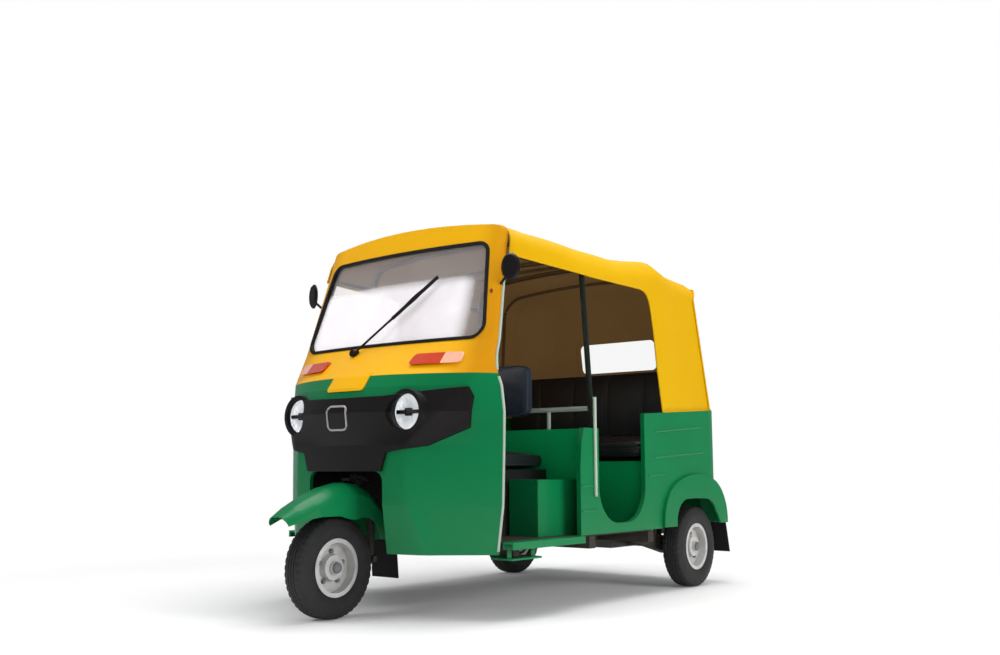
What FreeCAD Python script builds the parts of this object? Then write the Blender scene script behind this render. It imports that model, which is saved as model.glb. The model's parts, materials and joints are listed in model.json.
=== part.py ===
import FreeCAD, Part
import Sketcher
import math
import os

# Auto rickshaw, built in millimetres.
# X runs to the vehicle's left, the front faces -Y, Z is up and the wheels stand on Z = 0.
# In the sketches Y = 0 lies midway between the axles. Every sub-part's Placement then moves
# it by frame_shift, which puts Y = 0 at the middle of the overall length.

doc = FreeCAD.newDocument("AutoRickshaw")
sheet = doc.addObject("Spreadsheet::Sheet", "Sizes")
Vector = FreeCAD.Vector

DRIVING = [
    # wheels and stance
    ("wheelbase", 2000, "front axle to rear axle"),
    ("rear_track", 1150, "between the rear tyres' centre planes"),
    ("tyre_radius", 205, "rolling radius, which sets the axle height"),
    ("tyre_width", 107, "over the side walls"),
    ("rim_radius", 118, "rim flange"),
    ("hub_bore", 17, "radius of the stub axles"),
    ("run_gap", 0.05, "radial clearance of a shaft in its hole"),
    ("free_gap", 8, "clearance beside a turning piece"),
    ("nose_tip", 1291, "front axle side overhang of the mudguard from mid wheelbase"),
    ("tail_end", 1344, "rear bumper face from mid wheelbase"),
    # body shell
    ("half_width", 638, "outer face of the body sides"),
    ("side_wall", 22, "thickness of the side and rear panels"),
    ("sill_height", 313, "lower edge of the side panels"),
    ("waist_height", 785, "top of the panel behind the driver"),
    ("belt_front", 870, "belt line just behind the passenger doorway"),
    ("belt_rear", 925, "belt line at the tail"),
    ("tail_face", 1328, "rear face of the rear panel"),
    ("tail_radius", 195, "rear corners of the body in plan"),
    ("floor_sheet", 8, "floor thickness"),
    ("panel_front", 106, "front edge of the side panel, ahead of mid wheelbase"),
    ("doorway_front", 45, "front edge of the passenger doorway"),
    ("doorway_rear", 457, "rear edge of the passenger doorway"),
    ("doorway_floor", 356, "lowest point of the rounded passenger doorway"),
    # nose
    ("cowl_wall", 18, "front cowl thickness"),
    ("cowl_foot", 262, "lower edge of the front cowl"),
    ("cowl_rear", 650, "driver's doorway edge of the cowl, ahead of mid wheelbase"),
    ("split_height", 990, "joint between the green cowl and the yellow surround"),
    ("nose_reach", 965, "foremost point of the cowl at lamp height"),
    ("cheek_curve", 1500, "plan radius of the cowl's front below the headlamps"),
    ("corner_round", 70, "plan radius between that front and the cheeks"),
    ("well_half", 262, "half width of the front wheel box"),
    ("well_top", 610, "top of the front wheel box"),
    ("recess_half", 216, "half width of the open slot between the cheeks"),
    ("mask_proud", 16, "how far the lamp mask stands off the cowl"),
    ("lamp_spread", 323, "headlamp centres from the middle"),
    ("lamp_height", 833, "headlamp centres above the ground"),
    ("lamp_radius", 74, "headlamp glass"),
    ("lamp_set_back", 66, "headlamp glass behind the foremost point of the cowl"),
    # windscreen and hood
    ("frame_wall", 28, "thickness of the windscreen surround"),
    ("screen_foot", 1138, "lower edge of the windscreen"),
    ("screen_head", 1580, "upper edge of the windscreen"),
    ("screen_foot_half", 545, "half width of the windscreen at its foot"),
    ("screen_head_half", 478, "half width of the windscreen at its head"),
    ("gasket", 14, "width of the rubber round the windscreen"),
    ("glass", 5, "windscreen glass"),
    ("cant_height", 1505, "lower edge of the hood over the doorways"),
    ("cant_half", 600, "hood half width at that edge"),
    ("header_half", 562, "hood half width at the header, at that height"),
    ("roof_front", 1682, "crown of the roof at the header"),
    ("roof_middle", 1672, "crown of the roof over the driver's backrest"),
    ("roof_peak", 1704, "crown at the rearmost bow"),
    ("roof_rear", 1650, "crown behind the rearmost bow"),
    ("header_shoulder", 100, "radius between the header's sides and its top"),
    ("shoulder", 130, "the same radius further back"),
    ("hood_wall", 10, "canvas with its lining"),
    ("window_half", 265, "half width of the rear window"),
    ("window_foot", 1157, "lower edge of the rear window"),
    ("window_head", 1350, "upper edge of the rear window"),
    ("bow_tube", 22, "diameter of the hood bows"),
    ("post_tube", 26, "diameter of the door posts"),
    # steering
    ("rake", 25, "steering axis from the vertical, in degrees"),
    ("column_radius", 19, "steering tube"),
    ("head_radius", 27, "fixed steering head"),
    ("bar_half", 245, "half width of the handlebar"),
    ("bar_height", 955, "handlebar clamp above the ground"),
    ("guard_half", 84, "half width of the front mudguard"),
    ("guard_skin", 4, "mudguard sheet"),
    # chassis and running gear
    ("rail_spread", 300, "chassis rail centres from the middle"),
    ("rail_width", 50, "chassis rail, across"),
    ("rail_foot", 250, "underside of the chassis rails"),
    ("arm_pivot", 600, "trailing arm pivot behind mid wheelbase"),
    ("arm_spread", 455, "trailing arm centres from the middle"),
    # seats
    ("seat_half", 235, "half width of the driver's seat"),
    ("driver_seat_top", 680, "top of the driver's cushion"),
    ("bench_top", 770, "top of the passenger cushion"),
    ("bench_front", 545, "front of the passenger cushion"),
    ("bench_half", 560, "half width of the passenger cushion"),
    ("back_top", 1136, "top of the passenger backrest"),
]


class Size:
    """A length with its value in millimetres and the sheet expression that gives it."""

    def __init__(self, value, text):
        self.value = float(value)
        self.text = text

    def __add__(self, other):
        other = as_size(other)
        return Size(self.value + other.value, f"({self.text} + {other.text})")

    def __radd__(self, other):
        return as_size(other) + self

    def __sub__(self, other):
        other = as_size(other)
        return Size(self.value - other.value, f"({self.text} - {other.text})")

    def __rsub__(self, other):
        return as_size(other) - self

    def __mul__(self, other):
        other = as_size(other)
        return Size(self.value * other.value, f"({self.text} * {other.text})")

    def __rmul__(self, other):
        return self * other

    def __truediv__(self, other):
        other = as_size(other)
        return Size(self.value / other.value, f"({self.text} / {other.text})")

    def __neg__(self):
        return Size(-self.value, f"(0 - {self.text})")


def as_size(number):
    return number if isinstance(number, Size) else Size(number, repr(float(number)))


class Sizes:
    """The sheet's cells by name."""


def fill_sheet():
    sizes = Sizes()
    for row, (name, number, note) in enumerate(DRIVING, start=1):
        sheet.set(f"A{row}", note)
        sheet.set(f"B{row}", str(number))
        sheet.setAlias(f"B{row}", name)
    doc.recompute()
    for name, _, _ in DRIVING:
        setattr(sizes, name, Size(sheet.get(name), f"Sizes.{name}"))
    return sizes


s = fill_sheet()

# places that several sub-parts share
axle_height = s.tyre_radius
front_axle = -s.wheelbase / 2
rear_axle = s.wheelbase / 2
rear_wheel = s.rear_track / 2
frame_shift = (s.nose_tip - s.tail_end) / 2
side_inner = s.half_width - s.side_wall
tail_inner = s.tail_face - s.side_wall
side_end = s.tail_face - s.tail_radius - 10
rail_top = s.sill_height - s.floor_sheet
belt_slope = (s.belt_rear - s.belt_front) / (s.tail_face - s.doorway_rear)
seat_back_face = Size(0, "0")
sub_parts = []


def register(feature, label):
    """Give a finished sub-part its label and move it into the part's frame."""
    feature.Label = label
    feature.setExpression("Placement.Base.y", frame_shift.text)
    sub_parts.append(feature)
    return feature


def bind(feature, prop, size):
    feature.setExpression(prop, as_size(size).text)


def origin_plane(body, role):
    return next(f for f in body.Origin.OriginFeatures if f.Role == role)


def attach(sketch, body, role, offset):
    sketch.AttachmentSupport = [(origin_plane(body, role), "")]
    sketch.MapMode = "FlatFace"
    offset = as_size(offset)
    bind(sketch, ".AttachmentOffset.Base.z", offset)
    sketch.AttachmentOffset.Base.z = offset.value


def polygon(body, role, corners, offset=0):
    """A closed outline of straight runs, each corner held by two sizes."""
    sketch = body.newObject("Sketcher::SketchObject", "Outline")
    attach(sketch, body, role, offset)
    corners = [(as_size(u), as_size(v)) for u, v in corners]
    count = len(corners)
    for i, (u, v) in enumerate(corners):
        far_u, far_v = corners[(i + 1) % count]
        line = Part.LineSegment(Vector(u.value, v.value, 0), Vector(far_u.value, far_v.value, 0))
        sketch.addGeometry(line, False)
    for i in range(count):
        sketch.addConstraint(Sketcher.Constraint("Coincident", i, 2, (i + 1) % count, 1))
    for i, corner in enumerate(corners):
        for kind, size in zip(("DistanceX", "DistanceY"), corner):
            held = sketch.addConstraint(Sketcher.Constraint(kind, -1, 1, i, 1, size.value))
            bind(sketch, f"Constraints[{held}]", size)
    return sketch


def circle(body, role, centre, radius, offset=0):
    sketch = body.newObject("Sketcher::SketchObject", "Round")
    attach(sketch, body, role, offset)
    u, v = (as_size(value) for value in centre)
    radius = as_size(radius)
    sketch.addGeometry(Part.Circle(Vector(u.value, v.value, 0), Vector(0, 0, 1), radius.value), False)
    for kind, size in (("DistanceX", u), ("DistanceY", v)):
        held = sketch.addConstraint(Sketcher.Constraint(kind, -1, 1, 0, 3, size.value))
        bind(sketch, f"Constraints[{held}]", size)
    held = sketch.addConstraint(Sketcher.Constraint("Radius", 0, radius.value))
    bind(sketch, f"Constraints[{held}]", radius)
    return sketch


def new_body(name):
    return doc.addObject("PartDesign::Body", name)


def pad(body, sketch, length, middle=False):
    feature = body.newObject("PartDesign::Pad", "Pad")
    feature.Profile = sketch
    feature.Midplane = middle
    bind(feature, "Length", length)
    doc.recompute()
    return feature


def pocket(body, sketch, length=None, middle=True, back=False):
    """Cut a sketch away, through everything unless a length is given."""
    before = body.Shape.Volume
    feature = body.newObject("PartDesign::Pocket", "Pocket")
    feature.Profile = sketch
    feature.Midplane = middle
    feature.Reversed = back
    if length is None:
        feature.Type = "ThroughAll"
    else:
        bind(feature, "Length", length)
    doc.recompute()
    if body.Shape.Volume > before - 1:
        raise RuntimeError(f"{body.Name}: a pocket removed nothing")
    return feature


def mirror(body, features, role="YZ_Plane"):
    feature = body.newObject("PartDesign::Mirrored", "Mirror")
    feature.Originals = features
    feature.MirrorPlane = (origin_plane(body, role), [""])
    body.Tip = feature
    doc.recompute()
    return feature


def revolve(body, sketch, axis="V_Axis"):
    feature = body.newObject("PartDesign::Revolution", "Turned")
    feature.Profile = sketch
    feature.ReferenceAxis = (sketch, [axis])
    feature.Angle = 360
    doc.recompute()
    return feature


def block(name, x, y, z):
    """A plain block between pairs of sizes."""
    body = new_body(name)
    corners = [(x[0], y[0]), (x[1], y[0]), (x[1], y[1]), (x[0], y[1])]
    pad(body, polygon(body, "XY_Plane", corners, z[0]), z[1] - z[0])
    return body


def fillet(body, radius, wanted):
    """Round the edges whose middle point passes the test."""
    base = body.Tip
    names = []
    for number, edge in enumerate(base.Shape.Edges, start=1):
        middle = edge.valueAt((edge.FirstParameter + edge.LastParameter) / 2)
        if wanted(edge, middle):
            names.append(f"Edge{number}")
    if not names:
        raise RuntimeError(f"{body.Name}: no edge to round")
    feature = body.newObject("PartDesign::Fillet", "Rounded")
    feature.Base = (base, names)
    bind(feature, "Radius", radius)
    doc.recompute()
    return feature


def shape_part(label, shape):
    """A sub-part whose form is worked out from the sheet's sizes here."""
    feature = doc.addObject("Part::Feature", label)
    feature.Shape = Part.makeCompound(shape.Solids)
    return register(feature, label)


# Plan sections of the nose and of the windscreen surround: height, reach ahead of mid
# wheelbase, plan radius of the front, half width, corner radius, sweep of the cheek (run
# across for each millimetre back) and the place where the cheek becomes the straight side.
def nose_sections():
    reach, rear = s.nose_reach.value, s.cowl_rear.value
    half, corner = s.half_width.value + 2, s.corner_round.value
    flat = s.cheek_curve.value
    foot = s.cowl_foot.value
    tall = s.split_height.value - foot

    def bow(set_back, narrower, fullness):
        """Radius of the plan arc from the foremost point to the doorway, or a fuller one."""
        depth, width = reach - set_back - rear, half - narrower
        return fullness * (width ** 2 + depth ** 2) / (2 * depth)

    return [
        (foot, reach - 62, flat, half - 34, corner + 40, 1.1, -rear),
        (foot + 0.27 * tall, reach - 31, flat, half - 6, corner, 1.25, -rear),
        (foot + 0.6 * tall, reach - 25, flat, half, corner, 1.25, -rear),
        (foot + 0.785 * tall, reach, bow(0, 0, 1.0), half, 200, 1.09, -rear),
        (foot + 0.93 * tall, reach - 35, bow(35, 14, 1.02), half - 14, 200, 1.0, -rear),
        (foot + tall, reach - 72, bow(72, 36, 1.15), half - 36, 120, 0.7, -rear),
    ]


def screen_sections():
    foot, head = s.screen_foot.value, s.screen_head.value
    lean = 125 / (head - foot)
    half = s.header_half.value - 4

    def section(height, curve, half, corner):
        reach = 712 - lean * (height - foot)
        return height, reach, curve, half, corner, 0.05, 150 - reach

    return [
        nose_sections()[-1],
        section(foot, 3200, half + 30, 80),
        section(s.cant_height.value, 2700, half, 75),
        section(s.roof_front.value + 62, 2500, half - 12, 70),
    ]


def plan_outline(section, inset, rear):
    """One plan section: a bowed front, round corners, swept cheeks and straight sides."""
    height, reach, curve, half, corner, sweep, bend = section
    reach, curve = reach - inset, curve - inset
    corner = max(corner - inset, 5)
    middle = Vector(0, curve - reach, 0)
    slant = math.hypot(1, sweep)
    normal, along = Vector(1, -sweep, 0) / slant, Vector(sweep, 1, 0) / slant
    cheek = normal.dot(Vector(half, bend, 0) - middle) - inset - corner
    centre = middle + normal * cheek - along * math.sqrt((curve - corner) ** 2 - cheek ** 2)
    outward = (centre - middle).normalize()
    up = Vector(0, 0, height)
    join = middle + outward * curve + up
    turn = centre + (outward + normal).normalize() * corner + up
    touch = centre + normal * corner + up
    knee = Vector(half - inset, bend + inset * (slant - 1) / sweep, height)
    end = Vector(half - inset, rear, height)

    def far(point):
        return Vector(-point.x, point.y, point.z)

    edges = [
        Part.Arc(far(join), Vector(0, -reach, height), join).toShape(),
        Part.Arc(join, turn, touch).toShape(),
        Part.LineSegment(touch, knee).toShape(),
        Part.LineSegment(knee, end).toShape(),
        Part.LineSegment(end, far(end)).toShape(),
        Part.LineSegment(far(end), far(knee)).toShape(),
        Part.LineSegment(far(knee), far(touch)).toShape(),
        Part.Arc(far(touch), far(turn), far(join)).toShape(),
    ]
    return Part.Wire(edges)


def nose_solid(sections, inset, rear=-300):
    return Part.makeLoft([plan_outline(section, inset, rear) for section in sections], True, True)


def prism(points, axis, low, high):
    """A flat outline in the plane across one axis, drawn out along it."""
    def place(u, v, w):
        return {"x": Vector(w, u, v), "y": Vector(u, w, v), "z": Vector(u, v, w)}[axis]
    wire = Part.makePolygon([place(u, v, low) for u, v in points + points[:1]])
    return Part.Face(wire).extrude(place(0, 0, high - low))


def round_prism(points, radius, axis, low, high):
    """A prism with its long edges rounded."""
    solid = prism(points, axis, low, high)
    lead = {"x": 0, "y": 1, "z": 2}[axis]
    long_edges = [e for e in solid.Edges
                  if abs(e.tangentAt(e.FirstParameter)[lead]) > 0.999]
    return solid.makeFillet(radius, long_edges)


def tube_path(points, radius, bend):
    """A round tube along straight runs, with a round bend at each corner."""
    points = [Vector(*point) for point in points]
    pieces = []
    start = points[0]
    for before, corner, after in zip(points, points[1:], points[2:]):
        into = (corner - before).normalize()
        out = (after - corner).normalize()
        turn = into.getAngle(out)
        first = corner - into * bend * math.tan(turn / 2)
        inward = (out - into).normalize()
        centre = corner + inward * (bend / math.cos(turn / 2))
        disc = Part.Face(Part.Wire(Part.Circle(first, into, radius).toShape()))
        pieces.append(disc.revolve(centre, into.cross(out), math.degrees(turn)))
        if (first - start).Length > 1e-3:
            pieces.append(rod(start, first, radius))
        start = corner + out * bend * math.tan(turn / 2)
    pieces.append(rod(start, points[-1], radius))
    return pieces[0].fuse(pieces[1:]).removeSplitter()


def door_edge(offset=0):
    """The slanted space behind the windscreen surround's rear edge."""
    low, high = s.split_height.value, s.roof_peak.value + 60
    rear = -s.cowl_rear.value + offset
    lean = 0.247
    points = [(rear, -100), (rear, low), (rear + lean * (high - low), high), (1600, high),
              (1600, -100)]
    return prism(points, "x", -900, 900)


def hood_outline(y, crown, half_cant, radius, inset, foot=None):
    """One cross section of the hood: leaning sides, round shoulders and a low crown."""
    low = s.waist_height.value - 60 if foot is None else foot
    half_cant, radius, crown = half_cant - inset, radius - inset, crown - inset
    half_low = half_cant + hood_lean(half_cant + inset) * (s.cant_height.value - low)
    edge_top = crown - 26
    shoulder_x = half_cant - radius
    shoulder_z = edge_top - radius
    mid = radius * math.sqrt(0.5)

    def at(x, z):
        return Vector(x, y, z)

    edges = [
        Part.LineSegment(at(-half_low, low), at(-half_cant, shoulder_z)).toShape(),
        Part.Arc(at(-half_cant, shoulder_z), at(-shoulder_x - mid, shoulder_z + mid),
                 at(-shoulder_x, edge_top)).toShape(),
        Part.Arc(at(-shoulder_x, edge_top), at(0, crown), at(shoulder_x, edge_top)).toShape(),
        Part.Arc(at(shoulder_x, edge_top), at(shoulder_x + mid, shoulder_z + mid),
                 at(half_cant, shoulder_z)).toShape(),
        Part.LineSegment(at(half_cant, shoulder_z), at(half_low, low)).toShape(),
        Part.LineSegment(at(half_low, low), at(-half_low, low)).toShape(),
    ]
    return Part.Wire(edges)


def hood_lean(half_cant):
    """How far the hood's side leans out for each millimetre below the doorways' top."""
    return (s.half_width.value - 6 - half_cant) / (s.cant_height.value - s.belt_front.value)


def hood_stations():
    """The hood along the vehicle: place, crown, half width over the doorways, shoulder."""
    wide, soft = s.cant_half.value, s.shoulder.value
    narrow, tight = s.header_half.value, s.header_shoulder.value
    return [
        (-900, s.roof_front.value, narrow, tight),
        (-480, s.roof_front.value, narrow, tight),
        (-45, s.roof_middle.value, wide, soft),
        (328, s.roof_middle.value - 8, wide, soft),
        (700, s.roof_peak.value, wide, soft),
        (860, s.roof_rear.value + 14, wide, soft),
        (1400, s.roof_rear.value - 40, wide, soft),
    ]


def hood_at(y):
    """The hood's crown, half width and shoulder radius between two stations."""
    for near, far in zip(hood_stations(), hood_stations()[1:]):
        if near[0] <= y <= far[0]:
            share = (y - near[0]) / (far[0] - near[0])
            return [a + share * (b - a) for a, b in zip(near[1:], far[1:])]
    raise ValueError(f"no hood at {y}")


def hood_solid(inset):
    """The hood's outer form, or its inside when inset by the canvas."""
    body = Part.makeLoft([hood_outline(*station, inset) for station in hood_stations()], True, True)
    tail = s.tail_face.value
    lean = 78 / 490
    high = s.roof_peak.value + 40
    low = s.waist_height.value - 60
    base = s.belt_rear.value
    face = [(-1000, low), (tail - 5 - inset, low), (tail - 5 - inset, base),
            (tail - 5 - inset - lean * (high - base), high), (-1000, high)]
    ends = prism(face, "x", -800, 800)
    tail_plan = hood_plan(inset, tail - 5)
    return body.common(ends).common(tail_plan)


def hood_plan(inset, tail):
    """The hood's plan, with round tail corners."""
    half = s.half_width.value + 30 - inset
    radius = s.tail_radius.value + 30 - inset
    low, high = s.waist_height.value - 80, s.roof_peak.value + 60
    box = Part.makeBox(2 * half, tail - inset + 1200, high - low, Vector(-half, -1200, low))
    corners = [e for e in box.Edges if abs(e.tangentAt(0)[2]) > 0.99
               and e.valueAt(e.FirstParameter)[1] > 0]
    return box.makeFillet(radius, corners)


def build_cowl():
    sections = nose_sections()
    shell = nose_solid(sections, 0).cut(nose_solid([(sections[0][0] - 1,) + sections[0][1:]]
                                                   + sections[1:-1]
                                                   + [(sections[-1][0] + 1,) + sections[-1][1:]],
                                                   s.cowl_wall.value, -200))
    shell = shell.cut(door_edge())
    recess = s.recess_half.value
    top = s.well_top.value
    slot = round_prism([(-recess, 0), (recess, 0), (recess, top - 18), (-recess, top - 18)], 40,
                       "y", -1300, -640)
    holes = [lamp_bore(side, s.lamp_radius.value + 0.3) for side in (-1, 1)]
    return shape_part("front_cowl", shell.cut(slot).cut(holes))


def lamp_bore(side, radius):
    """The way of a headlamp through the mask and the cowl."""
    return Part.makeCylinder(radius, 260, lamp_face(side) + Vector(0, 160, 0), Vector(0, -1, 0))


def lamp_face(side):
    return Vector(side * s.lamp_spread.value, s.lamp_set_back.value - s.nose_reach.value,
                  s.lamp_height.value)


def build_screen_frame():
    sections = screen_sections()
    outer = nose_solid(sections, 0).common(hood_solid(0))
    low = [(sections[0][0] - 1,) + sections[0][1:]] + sections[1:]
    inner = nose_solid(low, s.frame_wall.value, -200).common(hood_solid(s.frame_wall.value))
    shell = outer.cut(inner).cut(door_edge())
    shell = shell.cut(screen_prism(0))
    return shape_part("windscreen_surround", shell.fuse(badge_tab()).removeSplitter())


def badge_tab():
    """The lug in the middle of the surround that laps down over the cowl."""
    split = s.split_height.value
    low = nose_solid(nose_sections(), -6).cut(nose_solid(nose_sections(), -0.3, -290))
    high = screen_layer(-6, 4)
    lug = round_prism([(-108, split - 64), (108, split - 64), (108, split + 30),
                       (-108, split + 30)], 14, "y", -1100, -700)
    below = Part.makeBox(2000, 2000, split, Vector(-1000, -1500, 0))
    above = Part.makeBox(2000, 2000, 200, Vector(-1000, -1500, split))
    return low.common(lug).common(below).fuse(high.common(lug).common(above))


def screen_prism(inset):
    foot, head = s.screen_foot.value + inset, s.screen_head.value - inset
    low_half, high_half = s.screen_foot_half.value - inset, s.screen_head_half.value - inset
    points = [(-low_half, foot), (low_half, foot), (high_half, head), (-high_half, head)]
    return round_prism(points, 62 - inset, "y", -1100, -300)


def screen_layer(near, far):
    sections = screen_sections()
    return nose_solid(sections, near).cut(nose_solid(sections, far, -290))


def build_screen():
    front = prism([(-1100, 1000), (-400, 1000), (-400, 1680), (-1100, 1680)], "x", -700, 700)
    ring = screen_prism(0).cut(screen_prism(s.gasket.value))
    gasket = ring.common(screen_layer(-4, s.frame_wall.value + 3)).common(front)
    shape_part("windscreen_gasket", gasket)
    middle = s.frame_wall.value / 2
    pane = screen_prism(s.gasket.value).common(screen_layer(middle, middle + s.glass.value))
    shape_part("windscreen", pane.common(front))


def build_mask():
    height = s.lamp_height.value
    recess, top = s.recess_half.value, s.well_top.value - 18
    right = [(0, top), (recess, top), (recess + 26, height - 164), (400, height - 138),
             (534, height - 66), (546, height + 60), (530, height + 100), (225, height + 66),
             (0, height + 62)]
    left = [(-x, z) for x, z in reversed(right[1:-1])]
    outline = prism(right + left, "y", -1200, -700)
    sections = nose_sections()
    proud = s.mask_proud.value
    layer = nose_solid(sections, -proud).cut(nose_solid(sections, -0.3, -290))
    mask = outline.common(layer)
    for side in (-1, 1):
        sleeve = Part.makeCylinder(s.lamp_radius.value + 18, 64, lamp_face(side) + Vector(0, 60, 0),
                                   Vector(0, -1, 0))
        mask = mask.fuse(sleeve.cut(nose_solid(sections, -0.3)))
    for side in (-1, 1):
        mask = mask.cut(lamp_bore(side, s.lamp_radius.value))
    return shape_part("headlamp_mask", mask.removeSplitter())


def build_hood():
    shell = hood_solid(0).cut(hood_solid(s.hood_wall.value))
    # the front edge meets the windscreen surround
    shell = shell.common(door_edge(0.5))
    cant = s.cant_height.value
    opening = [(-900, 500), (620, 500), (672, 880), (640, 1100), (628, 1275), (604, 1393),
               (560, 1478), (478, cant - 9), (50, cant - 12), (-640, cant + 11), (-900, cant + 11)]
    shell = shell.cut(prism(opening, "x", 0, 900))
    right = [(-900, 500), (46, 500), (46, cant - 12), (-640, cant + 11), (-900, cant + 11)]
    shell = shell.cut(prism(right, "x", -900, 0))
    slope = belt_slope.value
    rear_y, front_y = s.doorway_rear.value, -900
    rest = s.belt_front.value + 0.3
    belt = [(front_y, 300), (1500, 300), (1500, rest + slope * (1500 - rear_y)),
            (front_y, rest + slope * (front_y - rear_y))]
    shell = shell.cut(prism(belt, "x", -900, 900))
    half = s.window_half.value
    window = round_prism([(-half, s.window_foot.value), (half, s.window_foot.value),
                          (half, s.window_head.value), (-half, s.window_head.value)],
                         40, "y", 1100, 1500)
    return shape_part("canvas_hood", shell.cut(window))


def on_axis(height):
    """The point of the steering axis at a height."""
    slope = math.tan(math.radians(s.rake.value))
    return Vector(0, front_axle.value + slope * (height - axle_height.value), height)


def axis_direction():
    rake = math.radians(s.rake.value)
    return Vector(0, math.sin(rake), math.cos(rake))


def rod(start, end, radius):
    start, end = Vector(*start), Vector(*end)
    return Part.makeCylinder(radius, (end - start).Length, start, end - start)


def build_front_wheel_box():
    half, top, skin = s.well_half.value, s.well_top.value, 6
    rear = -s.cowl_rear.value + 10
    outer = Part.makeBox(2 * (half + skin), 400, top + skin - 280,
                         Vector(-half - skin, rear + skin - 400, 280))
    inner = Part.makeBox(2 * half, 400, top - 200, Vector(-half, rear - 400, 200))
    box = outer.cut(inner).common(nose_solid(nose_sections(), s.cowl_wall.value + 0.3))
    centre = on_axis(top)
    hole = Part.makeCylinder(s.head_radius.value + 0.3, 200, centre - axis_direction() * 100,
                             axis_direction())
    return shape_part("front_wheel_box", box.cut(hole))


def build_steering_head():
    low, high = on_axis(s.well_top.value - 20), on_axis(s.bar_height.value - 75)
    head = rod(low, high, s.head_radius.value)
    brace = tube_path([(0, on_axis(780).y, 780), (0, -590, 690), (0, -590, rail_top.value)], 20, 60)
    bore = rod(on_axis(400), on_axis(1100), s.column_radius.value + s.run_gap.value)
    return shape_part("steering_head", head.fuse(brace).cut(bore))


DAMPER_SPREAD = 112
DAMPER_SET_BACK = 20


def build_steering_column():
    top = on_axis(s.bar_height.value - 40)
    stem_foot = on_axis(506)
    stem = rod(stem_foot, top, s.column_radius.value)
    knee = (0, front_axle.value + 235, 225)
    arm = tube_path([tuple(on_axis(560)), tuple(on_axis(498)),
                     (0, front_axle.value + 235, 400), (0, front_axle.value + 235, 205)], 17, 30)
    pin = rod((-100, knee[1], knee[2]), (30, knee[1], knee[2]), 13)
    crown = rod(on_axis(549), on_axis(563), 44)
    eye = Vector(-DAMPER_SPREAD, on_axis(556).y + DAMPER_SET_BACK, 552)
    strap = Part.makeBox(DAMPER_SPREAD, 30, 12, eye - Vector(0, 15, 0))
    strap = strap.fuse(Part.makeCylinder(15, 12, eye))
    stem = stem.fuse([arm, pin, crown, strap])
    return shape_part("steering_column", stem.removeSplitter())


def build_front_suspension():
    axle_y, axle_z = front_axle.value, axle_height.value
    side = -86
    arm = prism([(axle_y - 22, axle_z - 24), (axle_y + 235, 200), (axle_y + 255, 225),
                 (axle_y + 235, 250), (axle_y - 12, axle_z + 28), (axle_y - 30, axle_z)],
                "x", side - 13, side + 13)
    eye = rod((-100, axle_y + 235, 225), (0, axle_y + 235, 225), 13)
    stub = rod((side, axle_y, axle_z), (40, axle_y, axle_z), s.hub_bore.value)
    damper_foot = Vector(-DAMPER_SPREAD, axle_y + 90, 240)
    damper_head = Vector(-DAMPER_SPREAD, on_axis(556).y + DAMPER_SET_BACK, 546.5)
    lug = rod((-136, axle_y + 90, 232), (side, axle_y + 90, 232), 10)
    damper = rod(damper_foot, damper_head, 11)
    axis = (damper_head - damper_foot).normalize()
    spring = Part.makeCylinder(23, 190, damper_foot + axis * 90, axis)
    part = arm.cut(eye).fuse([stub, lug, damper, spring])
    return shape_part("front_suspension", part.removeSplitter())


def build_handlebar():
    half = s.bar_half.value
    centre = on_axis(s.bar_height.value)
    low = on_axis(s.bar_height.value - 40)
    clamp = rod(low, on_axis(s.bar_height.value + 24), 25)
    points = [(-half, centre.y + 62, centre.z + 26), (-half * 0.5, centre.y, centre.z),
              (half * 0.5, centre.y, centre.z), (half, centre.y + 62, centre.z + 26)]
    bar = tube_path(points, 11, 60)
    grips = []
    for side in (-1, 1):
        outer = Vector(side * half, points[0][1], points[0][2])
        inner = Vector(side * half * 0.5, centre.y, centre.z)
        run = (outer - inner).normalize()
        grips.append(Part.makeCylinder(16, 95, outer - run * 85, run))
    return shape_part("handlebar", clamp.fuse([bar] + grips).removeSplitter())


def build_instrument_pod():
    base = on_axis(s.bar_height.value + 24)
    pod = Part.makeBox(210, 130, 62, Vector(-105, -62, 0))
    edges = [e for e in pod.Edges if abs(e.tangentAt(0)[2]) > 0.99]
    pod = pod.makeFillet(34, edges)
    top = [e for e in pod.Edges if e.BoundBox.ZMin > 60]
    pod = pod.makeChamfer(14, top)
    pod.rotate(Vector(0, 0, 0), Vector(1, 0, 0), -s.rake.value)
    pod.translate(base)
    return shape_part("instrument_pod", pod)


def guard_section(y, z, heading, half, drop, skin_inset):
    """One section across the mudguard: a round crown with side skirts."""
    half = half - skin_inset
    turn = math.radians(heading)
    out = Vector(0, -math.sin(turn), math.cos(turn))
    centre = Vector(0, y, z) - out * skin_inset

    def at(x, down):
        return centre + Vector(x, 0, 0) - out * down

    rise = half * 0.55
    low = drop if skin_inset == 0 else drop + 20
    edges = [
        Part.LineSegment(at(-half, low), at(-half, rise)).toShape(),
        Part.Arc(at(-half, rise), at(-half * 0.62, rise * 0.2), at(0, 0)).toShape(),
        Part.Arc(at(0, 0), at(half * 0.62, rise * 0.2), at(half, rise)).toShape(),
        Part.LineSegment(at(half, rise), at(half, low)).toShape(),
        Part.LineSegment(at(half, low), at(-half, low)).toShape(),
    ]
    return Part.Wire(edges)


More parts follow.
